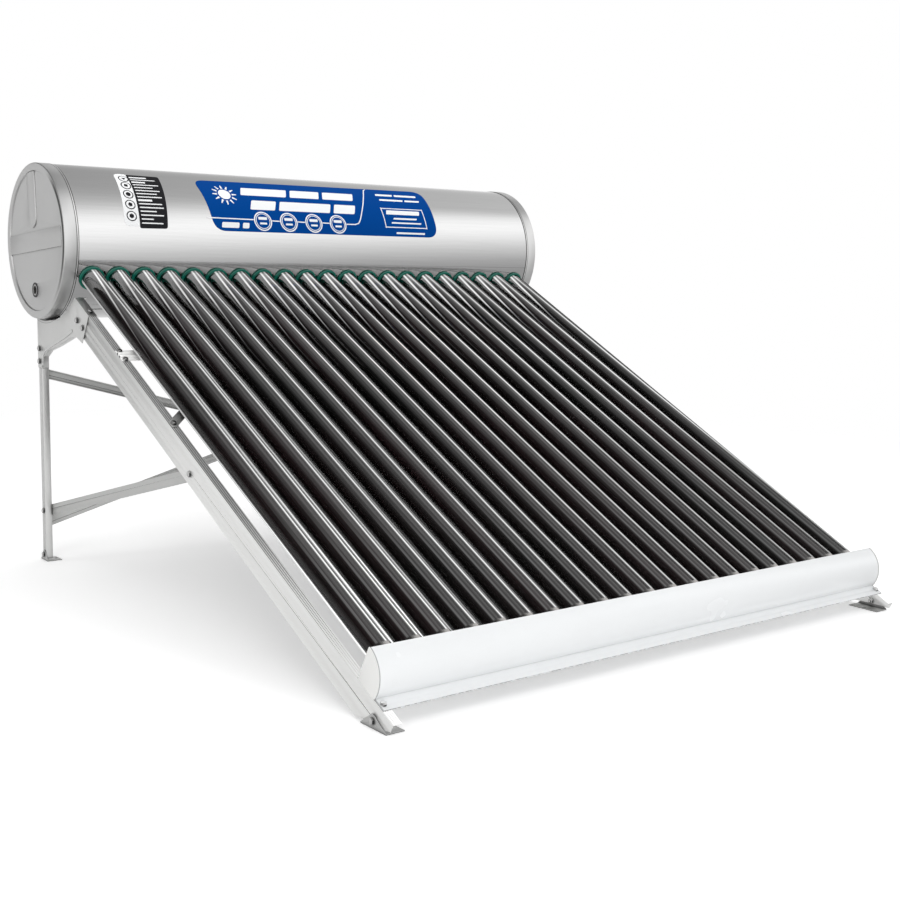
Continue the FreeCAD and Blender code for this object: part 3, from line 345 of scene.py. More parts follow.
def mat_cap():
    """Satin end cap with turned rings, a painted highlight line at the rim and dark lines of
    painted shade.
    """
    mat = Material("cap_satin_grey")
    fine = mat.noise(1400, detail=2)
    cloud = mat.noise(6)
    x, y, z = mat.xyz()
    radius = radius_of(y, z)
    rings = (radius * 1250.0).sin() * 0.5 + 0.5
    lit_edge = mat.edge_highlight(radius=0.0012)
    base = mat.mix(cloud, (0.66, 0.66, 0.657), (0.73, 0.73, 0.727))
    # painted highlight: brighter along outside edges
    base = mat.mix(lit_edge, base, (0.93, 0.93, 0.925))
    turn = turn_of(y, z - AXIS_Z)
    side = mat.normal_xyz()[0].abs().smooth(0.5, 0.8)        # the flat end
    # a dark arc of painted shade near the edge of the end, fading at both its ends
    arc_line = radius.window(0.2070, 0.2088, 0.2182, 0.2200)
    arc_line = arc_line * turn.smooth(-62, -5) * turn.fade(38, 66) * side
    # the round flank: a bright line of painted highlight, a dark line of painted shade beside
    # it, lengthwise painted shadows
    flank = side.cut()
    out = x.abs()
    painted_shading_line = out.fade(CAP_EDGE + 0.0016, CAP_EDGE + 0.0024) * flank
    groove_shade = out.window(CAP_EDGE + 0.0022, CAP_EDGE + 0.0028,
                        CAP_EDGE + 0.0046, CAP_EDGE + 0.0056) * flank
    bands = ((turn - 50.0).close(4, 20, peak=0.30) + (turn + 44.0).close(4, 12, peak=0.16)
             + (turn + 62.0).close(2, 6, peak=0.22)) * flank
    # painted highlight along the rim, then painted shade in the dark arc and beside the rim
    base = mat.mix(painted_shading_line, base, (0.97, 0.97, 0.965))
    base = mat.mix((arc_line * 0.97).max(groove_shade * 0.75), base, (0.02, 0.02, 0.02))
    # painted shade: darker in corners and under lips, and in the flank's dark bands
    corners = mat.crevice_shade(distance=0.007, low=0.16) * mat.crevice_shade(distance=0.0025, low=0.25)
    mat.set(color=mat.times(base, corners * bands.cut()), metal=0.80,
            rough=cloud * 0.06 + rings * 0.04 + 0.26,
            normal=mat.bump(fine * 0.6 + rings * 0.4, strength=0.09, distance=0.0004))
    return mat.data


def frame_sheet(name, dark=(0.82, 0.823, 0.812), pale=(0.93, 0.932, 0.92),
                stretch=(1, 1, 1), metal=0.80):
    """Satin sheet: fine rolling streaks, cloudy grey, and brighter edges that are a painted
    highlight.
    """
    mat = Material(name)
    streak = mat.noise(210, stretch=stretch, detail=4, rough=0.6)
    cloud = mat.noise(14, detail=4, rough=0.6)
    spot = mat.noise(420, detail=2).smooth(0.62, 0.78)
    lit_edge = mat.edge_highlight(radius=0.0010)
    base = mat.mix(cloud * 0.6 + streak * 0.4, dark, pale)
    base = mat.mix(spot * 0.35, base, scaled(dark, 0.7))
    # painted highlight: brighter along outside edges
    base = mat.mix(lit_edge, base, (0.99, 0.99, 0.985))
    # painted shade: darker in corners and under lips
    corners = mat.crevice_shade(distance=0.014, low=0.30) * mat.crevice_shade(distance=0.0045, low=0.06)
    mat.set(color=mat.times(base, corners), metal=metal,
            rough=streak * 0.08 + cloud * 0.08 + 0.26,
            normal=mat.bump(streak, strength=0.08, distance=0.0003))
    return mat


def mat_cross():
    """Ribbed upper rail, the palest sheet of the stand; painted light makes its upturned faces
    glow a little.
    """
    mat = frame_sheet("cross_sheet", dark=(0.84, 0.842, 0.83), pale=(0.94, 0.942, 0.93),
                      stretch=ALONG_X, metal=0.12)
    _, face_y, face_z = mat.normal_xyz()
    facing_up = along_up(face_y, face_z).smooth(0.2, 0.9, 0.05, 0.20)
    # painted light: upturned faces glow, less in corners
    mat.glow(facing_up * mat.crevice_shade(distance=0.006, low=0.25))
    return mat.data


def mat_saddle():
    """Pressed bracket: its upper folds carry a painted reflection of the dark tank, and a
    dark line of painted shadow follows the cradle under the tank."""
    mat = frame_sheet("saddle_sheet")
    _, y, z = mat.xyz()
    radius = radius_of(y, z)
    face_x, face_y, face_z = mat.normal_xyz()
    web = face_x.abs().smooth(0.6, 0.9)
    # painted reflection: folds facing up out of the tube plane are darkened
    fold = along_up(face_y, face_z).smooth(0.70, 0.90)
    down = along_down(y, z - AXIS_Z)
    plate = (down - 0.262).close(0.010, 0.012)               # a fold left paler
    # painted shadow: a dark line along the cradle under the tank, and a thinner dark line
    # further out
    painted_shading_line = (radius - (CRADLE + 0.0022)).close(0.0012, 0.0022) * web * 0.92
    thin_line = (radius - (CRADLE + 0.0100)).close(0.0004, 0.0012) * web * 0.45
    shade = painted_shading_line.max(thin_line).max(fold * plate.cut(0.75) * 0.62)
    mat.set(color=mat.mix(shade, mat.current("color"), (0.05, 0.05, 0.05)))
    return mat.data


def mat_rail():
    mat = frame_sheet("rail_sheet", dark=(0.77, 0.773, 0.762), pale=(0.88, 0.882, 0.87))
    # the top flange carries fine lengthwise rolled lines and a painted dull dark reflection
    x, y, z = mat.xyz()
    up = along_up(y, z - AXIS_Z)
    down = along_down(y, z - AXIS_Z)
    _, face_y, face_z = mat.normal_xyz()
    flange = along_up(face_y, face_z).smooth(0.8, 0.95) * up.gt(-0.0375)
    line_start, line_pitch = 0.8175, 0.0056
    line = ((x.abs() - line_start) * (2 * math.pi / line_pitch)).sin() * 0.5 + 0.5
    low_end = down.smooth(1.70, 1.86)
    reflection_layer = mat.mix(line.smooth(0.3, 0.7), (0.30, 0.30, 0.305), (0.86, 0.86, 0.865))
    mat.set(color=mat.mix(flange * low_end.cut(0.75) * 0.9, mat.current("color"), reflection_layer))
    # painted light: the lower half stands over the bright floor and glows, as does the flange
    # lower down
    web = down.smooth(0.45, 1.25) * flange.cut() * 0.23
    top = flange * (down.smooth(1.2, 1.9) * 0.62 + 0.13) * line.smooth(0.2, 0.8, 0.45, 1.0)
    mat.glow((web + top) * mat.crevice_shade(distance=0.014, low=0.2))
    mat.set(normal=mat.bump(line * flange, strength=0.5, distance=0.0012,
                            over=mat.current("normal")))
    return mat.data


def mat_white(name, rough=0.22, tint=(0.86, 0.875, 0.885), edge_lines=False):
    """White coat, with dark lines of painted shade at the holder cover's ends and foot if
    asked.
    """
    mat = Material(name)
    peel = mat.noise(380, detail=2)
    cloud = mat.noise(6)
    grime = mat.noise(60, detail=5, rough=0.7).smooth(0.58, 0.85)
    base = mat.mix(cloud, scaled(tint, 0.965), tint)
    base = mat.mix(grime * 0.18, base, (0.62, 0.61, 0.58))
    if edge_lines:
        x, _, z = mat.xyz()
        # painted shade: dark lines at the cover's ends and, broken by noise, along its foot
        ends = x.abs().smooth(COVER_HIGH.x - 0.0036, COVER_HIGH.x - 0.0024)
        foot = z.fade(COVER_LOW.z + 0.0012, COVER_LOW.z + 0.0020)
        dash = mat.noise(90, detail=2).smooth(0.40, 0.55, 0.35, 1.0)
        base = mat.mix((ends * 0.55).max(foot * dash * 0.75), base, (0.10, 0.10, 0.10))
    mat.set(color=base, rough=cloud * 0.08 + rough, coat=0.35, coat_rough=0.12,
            normal=mat.bump(peel, strength=0.06, distance=0.0004))
    return mat.data


def mat_rubber(name, color, rough, coat, spec=0.5):
    mat = Material(name)
    grain = mat.noise(260)
    dust = mat.noise(30, detail=5, rough=0.7).smooth(0.5, 0.85)
    dusty = [min(1, channel * 1.4 + 0.008) for channel in color]
    mat.set(color=mat.mix(dust * 0.35, color, dusty),
            rough=grain * 0.12 + dust * 0.18 + rough, coat=coat, coat_rough=0.05, spec=spec,
            normal=mat.bump(grain, strength=0.10, distance=0.0004))
    return mat.data


def mat_print(name, color, rough=0.5):
    """Printed film: faint mottling, fine scuffs, little sheen."""
    mat = Material(name)
    mottle = mat.noise(180)
    scuff = mat.noise(60, stretch=ALONG_X, detail=4, rough=0.7).smooth(0.62, 0.85)
    base = mat.mix(mottle, scaled(color, 0.94), color)
    scuffed = [min(1, channel * 1.3 + 0.06) for channel in color]
    mat.set(color=mat.mix(scuff * 0.12, base, scuffed), rough=mottle * 0.1 + rough,
            spec=0.03, normal=mat.bump(mottle, strength=0.05, distance=0.0002))
    return mat.data


def mat_foam():
    mat = Material("foam")
    cells = mat.noise(300, detail=4)
    mat.set(color=mat.mix(cells, (0.72, 0.62, 0.40), (0.84, 0.76, 0.55)), rough=0.9,
            normal=mat.bump(cells, strength=0.4, distance=0.001))
    return mat.data


def mat_bolt():
    """Bright turned ends; the flanks are painted near-black as shade, which outlines each bolt.
    """
    mat = Material("bright_plating")
    grain = mat.noise(500)
    cloud = mat.noise(60)
    lit_edge = mat.edge_highlight(radius=0.0006)
    face_x, face_y, face_z = mat.normal_xyz()
    # painted shade: faces looking neither along X nor out of the tube plane are near-black
    end = face_x.abs().max(along_up(face_y, face_z).abs()).smooth(0.78, 0.94)
    body = mat.mix(cloud, (0.80, 0.80, 0.80), (0.95, 0.945, 0.935))
    # painted highlight: brighter along outside edges
    bright = mat.mix(lit_edge, body, (1.0, 1.0, 0.99))
    mat.set(color=mat.mix(end, (0.09, 0.09, 0.09), bright), metal=1.0,
            rough=grain * 0.14 + 0.16,
            normal=mat.bump(grain, strength=0.1, distance=0.0002))
    return mat.data


# Overhead wall in the tubes: (mirror turn / 200 degrees, brightness).
TUBE_WALL = [
    (0.0, 0.050), (0.35, 0.042), (0.42, 0.032), (0.50, 0.024), (0.56, 0.020), (0.61, 0.013),
    (0.65, 0.006), (0.70, 0.001), (0.76, 0.0), (1.0, 0.0)]
# Tank's belly in the tubes: (metres down the tube, brightness).
TUBE_BELLY = [
    (0.0, 0.34), (0.24, 0.36), (0.30, 0.42), (0.38, 0.32), (0.47, 0.14), (0.60, 0.035),
    (0.78, 0.0), (1.0, 0.0)]


def tube_lights(mat):
    """A painted reflection of the studio in a glass tube: a long strip light on the
    right, a paler wall low on the right, and a soft grey wall overhead that
    falls to black on the left.  Worked out from the mirror direction turned
    about the tube's axis; the strip is near, so it wanders a little from tube
    to tube and along each tube.

    Returns the light's level, the distance down the tube, and the tone of
    the glass's own reflections."""
    geometry = mat.node("ShaderNodeNewGeometry").outputs
    view = mat.vector("SCALE", {0: geometry["Incoming"], "Scale": -1.0}).outputs[0]
    mirror = mat.vector("REFLECT", {0: view, 1: geometry["Normal"]}).outputs[0]
    mirror_x, mirror_y, mirror_z = mat.xyz(mirror)
    x, y, z = mat.xyz(geometry["Position"])
    down = along_down(y, z - AXIS_Z)
    # mirror turn: 0 to the right, 90 straight up out of the tube plane
    turn = along_up(mirror_y, mirror_z).atan2(mirror_x) * TO_DEG
    turn = turn + turn.lt(-100.0) * 360.0
    peak = down * -23.0 + 51.5 + (down.smooth(0.75, 1.75) * -42.0 + 23.0) * x
    off = turn - peak
    fine = mat.noise(210, stretch=(1, 1, 0.004), detail=2)
    # strip light: rises over 15 degrees and falls over 15, inside a faint halo
    strip_level = down.smooth(0.25, 0.75, 0.34, 0.54) + down.smooth(1.3, 1.7) * 0.06
    strip = off.window(-16, -1, 0, 15) * strip_level
    halo = off.smooth(-22, -4, 0.0, 0.048) * off.fade(8, 44)
    # the wall overhead, with a paler band towards the foot
    wall = turn.smooth(48, 72) * (turn / 200.0).ramp(TUBE_WALL)
    wall = wall + (turn - 112.0).close(2, 16, peak=0.050) * down.smooth(1.35, 1.65)
    wall = wall * fine.smooth(0.35, 0.65, 0.55, 1.35)
    # the tank's bright belly, drawn out to a point down the tubes' left sides
    lean = x + 0.7
    belly = (lean * lean * -22.0 + lean * 60.0 + 123.0 + (down - 0.47) * 230.0).min(174.0)
    width = down.smooth(0.22, 0.60, 19.0, 7.0)
    wedge = ((turn - belly).abs() / width).fade(0.25, 1.0) * down.ramp(TUBE_BELLY)
    wall = wall + wedge * fine.smooth(0.35, 0.65, 0.6, 1.3)
    # the pale wall low on the right, caught at the tubes' right-hand edges
    left = x.smooth(-0.02, -0.30)
    far_left = down.smooth(1.1, 1.7, 0.20, 0.62) * x.smooth(-0.45, -0.68)
    edge = turn.smooth(-10, -34) * (far_left + left * 0.16)
    edge = edge + turn.smooth(2, -14) * left * x.smooth(-0.70, -0.50) * 0.14
    # the right-hand tubes lose the strip's lower turns
    dark = turn.smooth(30, 0) * x.smooth(-0.15, 0.15) * down.smooth(1.60, 1.10)
    total = (strip + halo) * dark.cut(0.85) + wall + edge
    face = mat.vector("DOT_PRODUCT", {0: geometry["Incoming"], 1: geometry["Normal"]})
    facing = mat.value(face.outputs["Value"])
    seen = facing.smooth(0.0, 0.06)
    # the first tube's open side catches the white surroundings
    open_side = x.smooth(-0.750, -0.762) * facing.smooth(0.36, 0.14)
    total = total + open_side * turn.smooth(110, 150) * 0.50
    front = mat.value(geometry["Backfacing"]).cut()
    level = total * front * seen * mat.light_path("Is Camera Ray")
    return level, down, turn.smooth(36, 8, 1.0, 0.12)


def mat_absorber():
    """Near-black selective coating on the inner tube: glossy, faintly brown
    and violet in places, with a few faint streaks along the tube."""
    mat = Material("absorber_coating")
    streak = mat.noise(160, stretch=(1, 1, 0.010), detail=4, rough=0.6)
    tint = mat.noise(3.2, stretch=(1, 1, 0.5))
    own = mat.value(mat.node("ShaderNodeObjectInfo").outputs["Random"])
    base = mat.mix((tint + own * 0.3).smooth(0.40, 0.85),
                   (0.0060, 0.0056, 0.0054), (0.026, 0.0125, 0.0145))
    base = mat.mix(streak.smooth(0.40, 0.75) * 0.5, base, (0.022, 0.021, 0.020))
    mat.set(color=base, metal=0.0, rough=streak * 0.10 + 0.22, spec=0.30,
            coat=0.15, coat_rough=0.10)
    return mat.data


def mat_glass():
    """Thin clear glass: it shows what is behind it, with Fresnel reflection,
    strongest by the tank.  Near the closed tip the inside carries a silver
    getter film with a ragged upper edge."""
    mat = Material("tube_glass")
    _, _, z = mat.xyz()
    lights, down, shade = tube_lights(mat)
    fresnel = mat.value(mat.node("ShaderNodeFresnel", {"IOR": 1.50}).outputs[0])
    near_tank = down.smooth(0.52, 0.25)
    share = (fresnel * 0.8 + near_tank * 0.18).min(1.0)
    smear = mat.noise(40, stretch=(1, 1, 0.03))
    clear = mat.node("ShaderNodeBsdfTransparent", {0: (0.955, 0.965, 0.96, 1)})
    tone = mat.node("ShaderNodeCombineXYZ", {0: shade, 1: shade, 2: shade})
    gloss = mat.node("ShaderNodeBsdfGlossy", {
        "Roughness": smear * 0.03 + 0.01, "Color": tone.outputs[0]})
    glass = mat.mix_shader(share, clear.outputs[0], gloss.outputs[0])
    # painted reflection: the studio's strip light and walls, added as glow for the camera
    lit = mat.add_shader(glass, mat.emission(lights))
    ragged = mat.noise(26, stretch=(1, 1, 0.6), detail=4, rough=0.65)
    reflection_layer = (z + ragged * 0.030).smooth(1.836, 1.842)
    silver = mat.node("ShaderNodeBsdfGlossy", {
        "Color": (0.70, 0.68, 0.66, 1), "Roughness": ragged * 0.14 + 0.05})
    mat.show(mat.mix_shader(reflection_layer, lit, silver.outputs[0]))
    mat.tree.nodes.remove(mat.bsdf)
    return mat.data


MATERIALS = {
    "stainless": mat_stainless(),
    "inner": mat_plain_steel("inner_steel", color=(0.62, 0.62, 0.61), rough=0.26),
    "cap": mat_cap(),
    "frame": frame_sheet("frame_sheet").data,
    "leg": frame_sheet("leg_sheet", stretch=ALONG_Z).data,
    "cross": mat_cross(),
    "strap": frame_sheet("strap_sheet", dark=(0.56, 0.562, 0.552), pale=(0.66, 0.662, 0.652),
                         stretch=ALONG_X, metal=0.25).data,
    "brace": frame_sheet("brace_sheet", dark=(0.68, 0.683, 0.672),
                         pale=(0.79, 0.793, 0.782)).data,
    "rail": mat_rail(),
    "foot": frame_sheet("foot_sheet", dark=(0.62, 0.62, 0.615), pale=(0.74, 0.74, 0.73)).data,
    # the right feet take a darker copy of the foot sheet: painted shade
    "foot_right": frame_sheet("foot_sheet_shaded", dark=(0.40, 0.40, 0.395),
                              pale=(0.54, 0.54, 0.53)).data,
    "saddle": mat_saddle(),
    "white": mat_white("white_coat", edge_lines=True),
    "white_plastic": mat_white("white_plastic", rough=0.30, tint=(0.80, 0.80, 0.785)),
    "green": mat_rubber("green_silicone", srgb(0, 98, 82), rough=0.05, coat=0.45, spec=0.3),
    "dark": mat_rubber("dark_rubber", (0.035, 0.035, 0.036), rough=0.5, coat=0.1),
    "silicone": mat_rubber("pale_silicone", (0.62, 0.62, 0.60), rough=0.4, coat=0.2),
    "foam": mat_foam(),
    "bolt": mat_bolt(),
    "absorber": mat_absorber(),
    "glass": mat_glass(),
    "blue": mat_print("label_blue", srgb(0, 66, 142), rough=0.65),
    "print": mat_print("label_white", (0.90, 0.91, 0.92)),
    "black": mat_print("label_black", (0.018, 0.018, 0.020)),
}

# ----------------------------------------------------------------- CAD pieces
# material, width of the softened edges in mm (0 for none), pieces
FINISHES = [
    ("stainless", 0, "tank_shell"),
    ("inner", 0, "inner_tank cold_inlet_socket hot_outlet_socket vent_pipe"),
    ("cap", 0.8, "end_cap_left end_cap_right"),
    ("foam", 0, "tank_insulation"),
    ("silicone", 0, "tube_seals"),
    ("dark", 0.3, "port_grommets"),
    ("dark", 0, "saddle_pads"),
    ("leg", 0.6, "leg_left leg_right"),
    ("rail", 0.7, "rail_left rail_right"),
    ("saddle", 0.6, "saddle_left saddle_right"),
    ("brace", 0.5, "side_brace_left side_brace_right"),
    ("strap", 0.5, "rear_brace_rising rear_brace_falling"),
    ("cross", 0.5, "upper_cross_rail"),
    ("frame", 0.4, "corner_brace_left corner_brace_right"),
    ("white", 0.5, "holder_cover"),
    ("white", 0, "holder_tray"),
    ("white_plastic", 0.9, "holder_end_left holder_end_right"),
    ("white_plastic", 0, "tube_cups"),
    ("bolt", 0, "frame_bolts frame_nuts frame_washers foot_pivot_bolts tank_studs"),
    ("foot", 0.5, "foot_front_left foot_rear_left"),
    ("foot_right", 0.5, "foot_front_right foot_rear_right"),
    ("green", 0, "dust_rings"),
]
FINISH_OF = {name: (material, bevel)
             for material, bevel, names in FINISHES for name in names.split()}


def angle_group(degrees):
    """Smooth shading with edges sharper than the angle kept crisp."""
    group = bpy.data.node_groups.new("smooth_%d" % degrees, "GeometryNodeTree")
    for direction in ("INPUT", "OUTPUT"):
        group.interface.new_socket("Geometry", in_out=direction,
                                   socket_type="NodeSocketGeometry")
    source = add_node(group, "NodeGroupInput")
    result = add_node(group, "NodeGroupOutput")
    angle = add_node(group, "GeometryNodeInputMeshEdgeAngle")
    sharp = add_node(group, "ShaderNodeMath",
                     {0: angle.outputs["Unsigned Angle"], 1: math.radians(degrees)},
                     operation="GREATER_THAN")
    faces = add_node(group, "GeometryNodeSetShadeSmooth",
                     {"Geometry": source.outputs[0], "Shade Smooth": True}, domain="FACE")
    edges = add_node(group, "GeometryNodeSetShadeSmooth",
                     {"Geometry": faces.outputs[0], "Selection": sharp.outputs[0],
                      "Shade Smooth": False}, domain="EDGE")
    group.links.new(edges.outputs[0], result.inputs[0])
    return group


SMOOTH = angle_group(32)


def soften(obj, bevel_mm):
    """Welds, softens and smooths a carried-over CAD piece by modifiers."""
    weld = obj.modifiers.new("weld", "WELD")
    weld.merge_threshold = 2e-6
    if bevel_mm:
        bevel = obj.modifiers.new("bevel", "BEVEL")
        bevel.width = bevel_mm * MM
        bevel.segments = 2
        bevel.limit_method = "ANGLE"
        bevel.angle_limit = math.radians(38)
        bevel.use_clamp_overlap = True
    obj.modifiers.new("smooth", "NODES").node_group = SMOOTH


def round_shell_shading(mesh):
    """Makes the shell's shading follow the true cylinder, not its flat faces."""
    skin_radius = 0.2208            # the outer skin lies beyond this
    normals = []
    for face in mesh.polygons:
        for loop in face.loop_indices:
            co = mesh.vertices[mesh.loops[loop].vertex_index].co
            radius = math.hypot(co.y, co.z - AXIS_Z)
            radial = Vector((0, co.y, co.z - AXIS_Z)) / max(radius, 1e-6)
            is_wall = abs(face.normal.x) < 0.2
            outward = face.normal.dot(radial)
            if is_wall and outward > 0.9 and radius > skin_radius:
                normals.append(radial)
            elif is_wall and outward < -0.9:
                normals.append(-radial)
            else:
                normals.append(face.normal.copy())
    mesh.normals_split_custom_set(normals)


for name, obj in NODES.items():
    if name in FINISH_OF:
        material, bevel_mm = FINISH_OF[name]
        obj.data.materials.clear()
        obj.data.materials.append(MATERIALS[material])
        if name != "tank_shell":    # the shell has its own shading instead
            soften(obj, bevel_mm)
round_shell_shading(NODES["tank_shell"].data)


# ----------------------------------------------------------------- mesh tools
def new_piece(name, verts, faces, materials, body="root", smooth=True, slots=None):
    """A mesh object; slots gives each face's material slot."""
    mesh = bpy.data.meshes.new(name)
    mesh.from_pydata([tuple(vert) for vert in verts], [], faces)
    mesh.validate()
    for material in materials:
        mesh.materials.append(material)
    if slots is not None:
        mesh.polygons.foreach_set("material_index", slots)
    mesh.update()
    obj = bpy.data.objects.new(name, mesh)
    bpy.context.scene.collection.objects.link(obj)
    if smooth:
        shade_smooth(mesh)
    if body:
        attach(obj, body)
    return obj


def shade_smooth(mesh):
    for face in mesh.polygons:
        face.use_smooth = True


def tidy(mesh):
    """Drops loose vertices and turns all faces outwards."""
    edit = bmesh.new()
    edit.from_mesh(mesh)
    loose = [vert for vert in edit.verts if not vert.link_faces]
    bmesh.ops.delete(edit, geom=loose, context="VERTS")
    bmesh.ops.recalc_face_normals(edit, faces=edit.faces)
    edit.to_mesh(mesh)
    edit.free()


def lathe(profile, segments, closed=False):
    """Turns a profile of (radius, z) in mm about Z.  Points on the axis become
    single poles.  Returns verts, faces and each face's place in the profile."""
    verts, rings, faces, owners = [], [], [], []
    for radius, z in profile:
        radius, z = radius * MM, z * MM
        first = len(verts)
        if radius < 1e-9:
            verts.append((0, 0, z))
        else:
            for k in range(segments):
                angle = 2 * math.pi * k / segments
                verts.append((radius * math.cos(angle), radius * math.sin(angle), z))
        rings.append(range(first, len(verts)))
    pairs = list(zip(rings, rings[1:]))
    if closed:
        pairs.append((rings[-1], rings[0]))
    for place, (a, b) in enumerate(pairs):
        if len(a) == 1 and len(b) == 1:
            continue
        for k in range(segments):
            n = (k + 1) % segments
            if len(a) == 1:
                faces.append((a[0], b[n], b[k]))
            elif len(b) == 1:
                faces.append((a[k], a[n], b[0]))
            else:
                faces.append((a[k], a[n], b[n], b[k]))
            owners.append(place)
    return verts, faces, owners


def arc(center_r, center_z, radius, start, end, steps):
    """Points (radius, z) on an arc from start to end, in degrees."""
    angles = [math.radians(start + (end - start) * k / steps) for k in range(steps + 1)]
    return [(center_r + radius * math.cos(angle), center_z + radius * math.sin(angle))
            for angle in angles]


# ------------------------------------------------------------ evacuated tubes
# All in mm; z runs down the tube from the tank's axis.
OUTER_RADIUS = 29.0
INNER_RADIUS = 23.5             # outside of the inner wall
WALL = 1.6
RIM_Z, TIP_Z = 105.0, 1905.0
DOME_Z = TIP_Z - OUTER_RADIUS   # centre of the outer wall's round end
INNER_DOME_Z = TIP_Z - 45       # centre of the inner wall's round end
OUTER_STATIONS = (240, 500, 900, 1300, 1700)
BORE_STATIONS = (300, 900, 1500)
TUBE_SEGMENTS = 56


def tube_mesh():
    """The double-walled flask: bore, open rim, outer wall and tip outside,
    and the sealed vacuum space between the walls.  Slot 0 is the outer wall's
    glass, slot 1 the inner wall's coating."""
    bore = INNER_RADIUS - WALL
    rim = (OUTER_RADIUS - bore) / 2
    gap = (OUTER_RADIUS - WALL - INNER_RADIUS) / 2

    # outer skin, from the tip up to the rim and down the bore
    skin = [(0.0, TIP_Z)]
    skin += arc(0, DOME_Z, OUTER_RADIUS, 86, 0, 14)
    skin += [(OUTER_RADIUS, z) for z in reversed(OUTER_STATIONS)]
    skin += arc(OUTER_RADIUS - rim, RIM_Z + rim, rim, 0, -180, 8)
    bore_start = len(skin) - 1
    skin += [(bore, z) for z in BORE_STATIONS]
    skin += arc(0, INNER_DOME_Z, bore, 0, 86, 8)
    skin += [(0.0, INNER_DOME_Z + INNER_RADIUS - WALL)]
    skin_verts, skin_faces, skin_owners = lathe(skin, TUBE_SEGMENTS)

    # the sealed space, up the inner wall and down inside the outer wall
    space = [(0.0, INNER_DOME_Z + INNER_RADIUS)]
    space += arc(0, INNER_DOME_Z, INNER_RADIUS, 86, 0, 10)
    space += [(INNER_RADIUS, z) for z in reversed(OUTER_STATIONS)]
    inner_end = len(space) - 1
    space += arc(INNER_RADIUS + gap, RIM_Z + rim, gap, 180, 360, 8)
    space += [(OUTER_RADIUS - WALL, z) for z in OUTER_STATIONS]
    space += arc(0, DOME_Z, OUTER_RADIUS - WALL, 0, 86, 14)
    space += [(0.0, TIP_Z - WALL)]
    space_verts, space_faces, space_owners = lathe(space, TUBE_SEGMENTS)

    base = len(skin_verts)
    faces = [face[::-1] for face in skin_faces]
    faces += [tuple(base + i for i in face[::-1]) for face in space_faces]
    slots = [int(owner >= bore_start) for owner in skin_owners]
    slots += [int(owner < inner_end) for owner in space_owners]
    return skin_verts + space_verts, faces, slots


def build_tubes():
    """All tubes share the first one's mesh."""
    verts, faces, slots = tube_mesh()
    shared = None
    for name, x in zip(TUBE_NAMES, TUBE_X):
        if shared is None:
            obj = new_piece("evacuated_" + name, verts, faces,
                            [MATERIALS["glass"], MATERIALS["absorber"]],
                            body=None, slots=slots)
            shared = obj.data
            tidy(shared)
        else:
            obj = bpy.data.objects.new("evacuated_" + name, shared)
            bpy.context.scene.collection.objects.link(obj)
        obj.matrix_world = Matrix.Translation((x, 0, 0)) @ TILT
        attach(obj, name + "_body")
        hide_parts(name)


build_tubes()


# ------------------------------------------------------- dust rings and cups
def on_every_tube(name, profile, material, segments, node):
    """One object with a closed turned profile (radius, z in mm) on each tube."""
    ring_verts, ring_faces, _ = lathe(profile, segments, closed=True)
    verts, faces = [], []
    for x in TUBE_X:
        base = len(verts)
        place = Matrix.Translation((x, 0, 0)) @ TILT
        verts += [place @ Vector(vert) for vert in ring_verts]
        faces += [tuple(base + i for i in face) for face in ring_faces]
    obj = new_piece(name, verts, faces, [MATERIALS[material]])
    tidy(obj.data)
    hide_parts(node)


# a neck, then a wider rounded lip with a small inner lip
RING_PROFILE = [
    (29.2, 214.0), (32.3, 214.0), (32.3, 221.2), (35.6, 221.2),
    *arc(33.9, 223.8, 2.6, -60, 80, 7),
    (32.4, 226.3), (31.6, 226.0),
    *arc(30.9, 226.6, 1.4, 20, 150, 5),
    (29.2, 226.4)]
on_every_tube("dust_ring_set", RING_PROFILE, "green", 56,
              node="dust_rings")

# a collar round the mouth, then a round-ended cup over the tube's tip
CUP_OUTER, CUP_INNER, CUP_DOME_Z = 30.8, 29.3, 1876.0
CUP_PROFILE = [
    (CUP_INNER, 1848.5), (29.9, 1847.9), (33.6, 1847.9), (34.2, 1848.6), (34.2, 1852.9),
    (CUP_OUTER, 1852.9), (CUP_OUTER, CUP_DOME_Z),
    *arc(0, CUP_DOME_Z, CUP_OUTER, 12, 84, 7),
    (0.0, 1906.8), (0.0, 1905.3),
    *arc(0, CUP_DOME_Z, CUP_INNER, 84, 12, 7),
    (CUP_INNER, CUP_DOME_Z)]
on_every_tube("tube_cup_set", CUP_PROFILE, "white_plastic", 48,
              node="tube_cups")

# --------------------------------------------------------------------- labels
# Outlines lie on the shell as (x in mm, turn in degrees above the front).
FOLD = 2.5                      # degrees between the folds of a bent sticker
FLAT_DEG = 4.0                  # length given to one degree while cutting into faces


def on_tank(x, turn, lift):
    """A point lift mm above the shell."""
    radius = SHELL_RADIUS + lift
    angle = math.radians(turn)
    return Vector((x * MM, -radius * math.cos(angle) * MM,
                   AXIS_Z + radius * math.sin(angle) * MM))


def cut_faces(outline):
    """Splits an outline along lines of equal turn, so that it can bend."""
    twice_area = sum(p[0] * q[1] - q[0] * p[1]
                     for p, q in zip(outline, outline[1:] + outline[:1]))
    if twice_area < 0:
        outline = outline[::-1]
    corners = [Vector((x, turn * FLAT_DEG)) for x, turn in outline]
    left = min(x for x, _ in outline) - 5
    right = max(x for x, _ in outline) + 5
    top = max(turn for _, turn in outline)
    turn = math.ceil(min(turn for _, turn in outline) / FOLD) * FOLD
    ends, folds = [], []
    while turn < top:
        first = len(corners) + len(ends)
        folds.append((first, first + 1))
        ends += [Vector((left, turn * FLAT_DEG)), Vector((right, turn * FLAT_DEG))]
        turn += FOLD
    points, _, faces, _, _, sources = delaunay_2d_cdt(
        corners + ends, folds, [list(range(len(corners)))], 1, 1e-4)
    inside = [face for face, source in zip(faces, sources) if 0 in source]
    return [(point.x, point.y / FLAT_DEG) for point in points], inside


